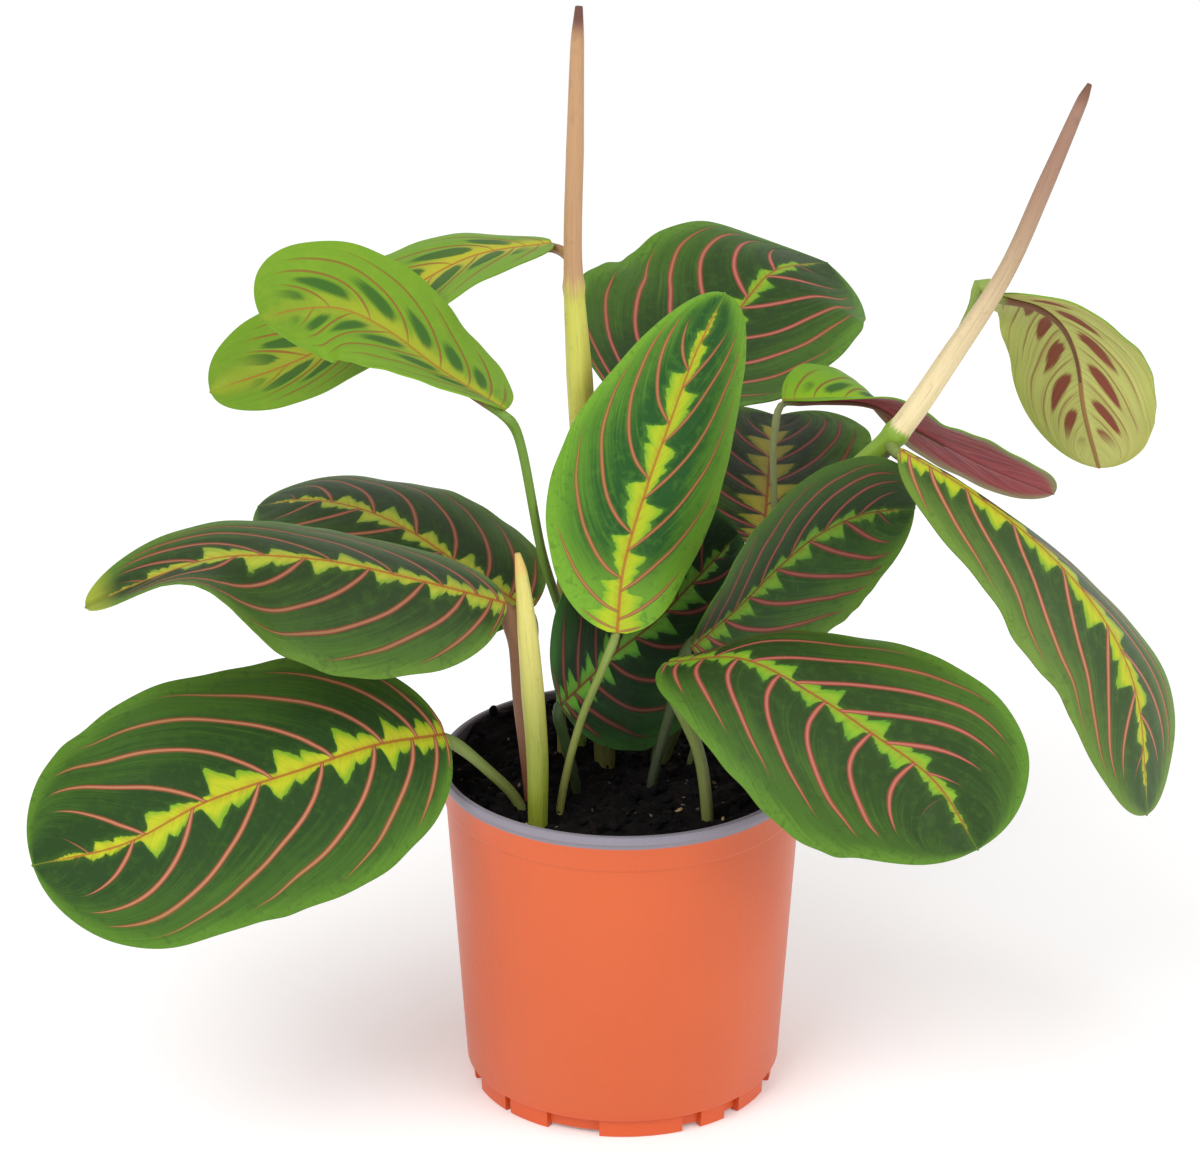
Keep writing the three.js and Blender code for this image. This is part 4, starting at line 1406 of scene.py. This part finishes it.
@dataclass(frozen=True)
class SoilFinish:
    """Moist dark peat with brown fibres, a few pale grains and dry flakes."""

    peat: Colour = (10, 8, 8)
    brown: Colour = (31, 23, 20)
    pale: Colour = (120, 104, 88)
    chaff: Colour = (176, 146, 106)

    def make(self) -> bpy.types.Material:
        """Builds the soil's material."""
        shader = Shader("potting_soil")
        place = shader.object_place()
        clod = shader.noise(place, 150.0, 4.0, 0.65)
        grain = shader.noise(place, 620.0, 3.0, 0.6)
        speck = shader.noise(place, 330.0, 1.0, 0.4)
        colour = shader.blend(self.peat, self.brown, clod, 0.5, 0.72)
        colour = shader.blend(colour, self.pale, speck, 0.74, 0.78)
        dry = shader.attribute("chaff").of("X")
        colour = shader.mix(dry * (0.55 + grain * 0.6), colour, self.chaff)
        return shader.finish(colour, 0.92, grain * 0.6 + clod, 0.0012, Specular_IOR_Level=0.15)


@dataclass
class Studio:
    """The pale floor, the soft lights and the camera: the camera in millimetres about the pot's axis, the
    floor and the lamps, each with its place, size and power, in metres."""

    target: Point = (-7.5, 0.0, 175.5)
    distance: float = 1800.0
    elevation: float = 23.0
    lens: float = 168.0
    sensor: float = 36.0
    floor_size: float = 12.0
    floor_glow: float = 0.17
    pale: Colour = (246, 246, 245)
    surround: float = 0.72
    lamps: tuple[tuple[str, Point, float, float], ...] = (
        ("key", (-0.9, -1.3, 1.7), 1.3, 26.0),
        ("fill", (1.5, -0.9, 1.2), 1.4, 12.0),
    )
    aim: Point = (0.0, 0.0, 0.15)

    WHITE = (1, 1, 1, 1)

    def camera(self) -> None:
        """Sets the camera at the photograph's viewing angle."""
        data = bpy.data.cameras.new("camera")
        data.lens = self.lens
        data.sensor_width = self.sensor
        data.sensor_fit = "HORIZONTAL"
        data.clip_end = 50
        camera = bpy.data.objects.new("camera", data)
        bpy.context.scene.collection.objects.link(camera)
        look = math.radians(self.elevation)
        target = Vector(np.array(self.target) + AXIS) * MM
        away = Vector((0, -math.cos(look), math.sin(look))) * self.distance * MM
        camera.location = target + away
        camera.rotation_euler = (-away).to_track_quat("-Z", "Y").to_euler()
        bpy.context.scene.camera = camera

    def floor(self) -> None:
        """Lays a plain pale floor."""
        deselect()
        bpy.ops.mesh.primitive_plane_add(size=self.floor_size)
        floor = bpy.context.object
        floor.name = "floor"
        shader = Shader("pale_floor")
        glow = {"Specular_IOR_Level": 0.1, "Emission_Color": self.WHITE, "Emission_Strength": self.floor_glow}
        pale = shader.finish(self.pale, 0.85, **glow)
        floor.data.materials.append(pale)

    def lights(self) -> None:
        """Sets two large soft lights and a bright even surround."""
        world = bpy.data.worlds.new("surround")
        bpy.context.scene.world = world
        world.use_nodes = True
        sky = world.node_tree.nodes["Background"]
        sky.inputs["Color"].default_value = self.WHITE
        sky.inputs["Strength"].default_value = self.surround
        for name, place, size, power in self.lamps:
            data = bpy.data.lights.new(name, "AREA")
            data.size = size
            data.energy = power
            lamp = bpy.data.objects.new(name, data)
            bpy.context.scene.collection.objects.link(lamp)
            lamp.location = place
            way = Vector(self.aim) - Vector(place)
            lamp.rotation_euler = way.to_track_quat("-Z", "Y").to_euler()
        bpy.context.scene.view_settings.view_transform = "Standard"

    def build(self) -> None:
        """Sets up the whole studio."""
        self.camera()
        self.floor()
        self.lights()


LEAVES = (
    Leaf("leaf_low_left", 89,
         ((-57, -24, 133), (-79, -37, 135), (-102, -49, 132), (-131, -63, 127.5), (-156, -77, 119.5),
          (-184, -90, 118)),
         ((-0.1, -0.65, 0.76), (-0.1, -0.65, 0.76)),
         Half((0, -10), (-16, -5), slim=0.05), Half((5, 0), (-20, -5), shift=0.2, slim=-0.12),
         ((-33, -23, 106), (-44, -23, 120)), 1.8, veins=11, spread=1.4),
    Leaf("leaf_mid_left", 76,
         ((-37, -20, 177), (-63, -26, 187), (-95, -32, 197), (-126, -37, 200), (-147, -41, 195),
          (-169, -45, 186)),
         ((0, -0.5, 0.85), (0.05, -0.45, 0.87), (0.1, -0.25, 0.95)),
         Half((-10, -10, -10, -11, -12, -10, 36, 32, 20), (-28, -25, -20, 10, 10), slim=0.4),
         Half((-20, -24, -26, -10, 5), (-30, -22, -18, -15, -10), shift=0.4, slim=0.5),
         ((-29.5, -17, 106), (-33, -18, 142), (-35, -19, 166)), 2.6, TIPPED,
         stalk_base=(116, 70, 50), stalk_top=(132, 92, 60)),
    Leaf("leaf_back_left", 76,
         ((-30, 16, 159), (-51, 27, 169), (-70, 38, 178), (-86, 47, 182), (-104, 55, 182), (-121, 61, 177)),
         ((0, -0.3, 0.95), (0.15, -0.2, 0.95)),
         Half((0, 0), (-22, -10)), Half((-3, -3), (-15, -35), shift=0.3),
         ((-28, 0, 106), (-30, 6, 140)), 1.8, DUSKY),
    Leaf("young_leaf_left", 54,
         ((-37, -25, 245), (-57, -14, 254), (-75, -5, 264.5), (-89, -2, 270), (-103, -6, 271),
          (-113, -15, 271)),
         ((0.65, -0.2, 0.72), (0.2, -0.65, 0.72)),
         Half((18, 15), (0, -10)), Half((5, 5), (-20, -5), shift=0.4),
         ((-13, 16, 106), (-18, 12, 150), (-26, -4, 187), (-34, -20, 236)), 1.5, YOUNG,
         stalk_base=(104, 134, 46), stalk_top=(112, 148, 52)),
    Leaf("young_leaf_far_left", 53,
         ((-23, 55, 272), (-49, 47, 270), (-75, 38, 258), (-100, 30, 243), (-133, 23, 232)),
         ((-0.3, -0.05, 0.95), (-0.2, -0.55, 0.8)),
         Half((5, 10), (0, 10)), Half((0, 15), (-30, 5), shift=0.4),
         ((-20, 9, 106), (-20, 18, 170), (-15, 17, 225), (-14.5, 24, 252), (-17, 44, 269)), 1.5, GOLDEN,
         stalk_base=(138, 134, 60), stalk_top=(158, 116, 64)),
    Leaf("leaf_top_back", 88,
         ((-3, 59, 218), (15, 83, 219), (36, 105, 227), (51, 124, 237), (70, 141, 234)),
         ((-0.1, -0.7, 0.7), (0.05, -0.3, 0.95)),
         Half((10, -15), (15, 5)), Half((15, 0), (20, 0), shift=0.3),
         ((-3, 21, 106), (-5, 32, 160), (-5, 48, 200)), 1.8, ROSY, power=3.4,
         stalk_base=SHADED_STALK_FOOT, stalk_top=(76, 96, 42)),
    Leaf("leaf_centre", 64,
         ((-2, -26, 169), (0, -17, 187), (8, -10, 214), (15, -5, 233), (23, -2, 255), (32, 1, 274)),
         ((0.2, -0.9, 0.35), (0.55, -0.6, 0.6)),
         Half((0, 0), (-20, -20), lean=0.5, slim=0.3), Half((-5, -10), (-35, -30), 1.3, 0.35, 0.1),
         ((-20.5, -26, 106), (-14, -28, 138), (-6, -29, 160)), 1.3, BRIGHT, veins=10, spread=1.2, power=1.9,
         stalk_base=(132, 134, 66), stalk_top=(122, 142, 58)),
    Leaf("leaf_low_centre", 76,
         ((-20, -22, 142), (-10, -12, 148), (-3, -2, 151), (10, 8, 158), (24, 21, 168), (38, 35, 178)),
         ((0.3, -0.75, 0.6), (0.1, -0.6, 0.8)),
         Half((42, 50), (-15, -15)), Half((-35, -15), (-25, 0), shift=0.4, slim=0.6),
         ((-15, -12, 106), (-19, -17, 128)), 1.7, DEEP,
         stalk_base=SHADED_STALK_FOOT, stalk_top=(60, 84, 38)),
    Leaf("leaf_mid_right", 70,
         ((22, -4, 154), (37, 3, 165), (50, 10, 176), (63, 16, 185), (78, 22, 190), (95, 27, 190)),
         ((0.65, -0.72, 0.25), (0.1, -0.97, 0.2)),
         Half((50, 45), (-10, -10)), Half((-10, -10), (-20, -5), shift=0.4, slim=0.12),
         ((9, -10, 106), (15, -5, 132)), 1.7, HALF_LIT,
         stalk_base=SHADED_STALK_FOOT, stalk_top=(70, 88, 40)),
    Leaf("leaf_low_right", 84,
         ((14, -25, 159), (38, -37, 165), (61, -46, 156), (78, -53, 146.5), (98, -62, 133.5),
          (111, -75, 116)),
         ((0.45, -0.25, 0.86), (0.1, -0.96, 0.2)),
         Half((-10, -5), (-40, -20), lean=1.5, shift=-0.45), Half((5, -5), (-5, -25), lean=-0.2, shift=-0.15),
         ((27, -31, 106), (24, -25, 127), (15, -22, 148)), 2.0, BROAD, veins=12, spread=1.2),
    Leaf("leaf_far_right", 66,
         ((89, 14, 216), (111, 9, 204), (139, 4, 182), (157, -2, 160), (166, -8, 139), (170, -16, 100)),
         ((-0.2, -0.3, 0.93), (0.2, -0.35, 0.91)),
         Half((-40, -30), (-25, -10)), Half((8, 2, 30), (-12, -15, 5), shift=0.4, slim=-0.05),
         ((86, 22, 215),), 1.9, SUNLIT, on_cane=True, power=2.1),
    Leaf("young_leaf_right", 55,
         ((121, 33, 262), (135, 38, 256), (143, 43, 247), (148, 47, 234), (151, 51, 216), (157, 55, 193)),
         ((0.45, 0.65, 0.6), (0.4, 0.85, 0.35)),
         Half((5, 5), (-10, 10)), Half((-5, 0), (-20, 10), shift=0.4),
         ((96, 23, 230), (104, 32, 240), (111.5, 34, 256), (115, 36, 264)), 1.2, UPTURNED, on_cane=True,
         stalk_base=(112, 150, 52), stalk_top=(142, 164, 74), swelling=1.4),
    Leaf("young_leaf_centre", 45,
         ((52, 45, 221), (66, 49, 220), (81, 53, 217), (95, 58, 207), (118, 60, 193), (143, 62, 181)),
         ((0.3, -0.1, 0.95), (0.28, 0.5, 0.82), (0.2, 0.75, 0.63)),
         Half((35, 10, 5), (-15, -15)), Half((30, 5, 0), (-5, -10), shift=0.4),
         ((22, 12, 106), (36.5, 21.5, 140), (48.5, 27, 178), (49, 38, 210)), 1.1, MAROON,
         stalk_base=(100, 116, 62), stalk_top=(128, 138, 82)),
    Leaf("leaf_shade", 72,
         ((46, 39, 172), (48, 69, 177), (50, 100, 180), (53, 131, 182)),
         ((0, -0.2, 1), (0, -0.2, 1)),
         Half((10, 20), (-15, -10)), Half((5, 20), (-15, -10), shift=0.4),
         ((6, 26, 106), (28, 33, 142)), 1.7, SHADED_OLIVE,
         stalk_base=SHADED_STALK_FOOT, stalk_top=(76, 84, 42)),
)

STEMS = (
    BareStem("stem_tall", "tall_bare_stem", "dry_stem",
             ((-6, 7, 106, 3.4), (-8, 9, 160, 3.8), (-12, 8, 210, 4.2), (-14, 5, 245, 4.2),
              (-16, 2, 285, 2.9), (-15.3, 0, 322, 2.8), (-14.5, 0, 357, 2.1), (-14, 0, 368, 1.2)),
             StemFinish("tall_bare_stem", (198, 196, 84), (184, 142, 102), 0.655, 0.7, (104, 62, 48), 0.98,
                        old_base=0.85),
             (0.677,)),
    BareStem("cane_right", "right_cane", "cane",
             ((12, 14, 106, 3.2), (37, 29, 150, 3.3), (64, 31, 190, 3.4), (88, 23, 218, 3.9),
              (106, 23, 246, 3.6), (122, 26, 272, 2.9), (134, 28, 301, 2.7), (145, 31, 328, 1.8),
              (147, 31, 333, 0.8)),
             StemFinish("right_cane", (231, 213, 165), (154, 116, 96), 0.56, 0.93, (120, 78, 56), 0.985,
                        foot=(132, 166, 52), foot_share=0.565, old_base=0.8),
             (0.556,)),
    BareStem("sheath_front", "front_sheath", "green_sheath",
             ((-27.5, -34, 106, 3.1), (-27.5, -33, 128, 3.5), (-28.8, -32, 150, 3.7), (-30.5, -31, 172, 3.2),
              (-32.5, -30, 192, 1.9), (-33.5, -30, 198, 0.9)),
             StemFinish("front_sheath", (132, 142, 40), (212, 202, 112), 0.35, 0.85, (222, 190, 108), 0.95)),
)


@dataclass
class PrayerPlant:
    """The whole plant in its pot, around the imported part."""

    pot: Pot = field(default_factory=Pot)
    soil: Soil = field(default_factory=Soil)
    stems: tuple[BareStem, ...] = STEMS
    leaves: tuple[Leaf, ...] = LEAVES
    studio: Studio = field(default_factory=Studio)

    @staticmethod
    def settle(piece: bpy.types.Object, slot: str, node: str) -> None:
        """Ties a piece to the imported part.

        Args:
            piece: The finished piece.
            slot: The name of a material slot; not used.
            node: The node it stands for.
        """
        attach(piece, "root")
        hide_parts(node)
        LOG.info("%s: %d faces", piece.name, len(piece.data.polygons))

    def build(self) -> None:
        """Builds every piece about the pot's axis."""
        self.studio.build()
        self.settle(self.pot.build(), "pot_plastic", "pot")
        self.settle(self.soil.build(), "soil", "soil")
        for stem in self.stems:
            self.settle(stem.build(), stem.slot, stem.name)
        for leaf in self.leaves:
            self.settle(leaf.blade(), leaf.slot, leaf.name)
            self.settle(leaf.stem(), leaf.slot, leaf.name)


def main() -> None:
    """Builds the plant."""
    logging.basicConfig(level=logging.INFO, format="%(name)s %(message)s")
    PrayerPlant().build()


if __name__ == "__main__":
    main()
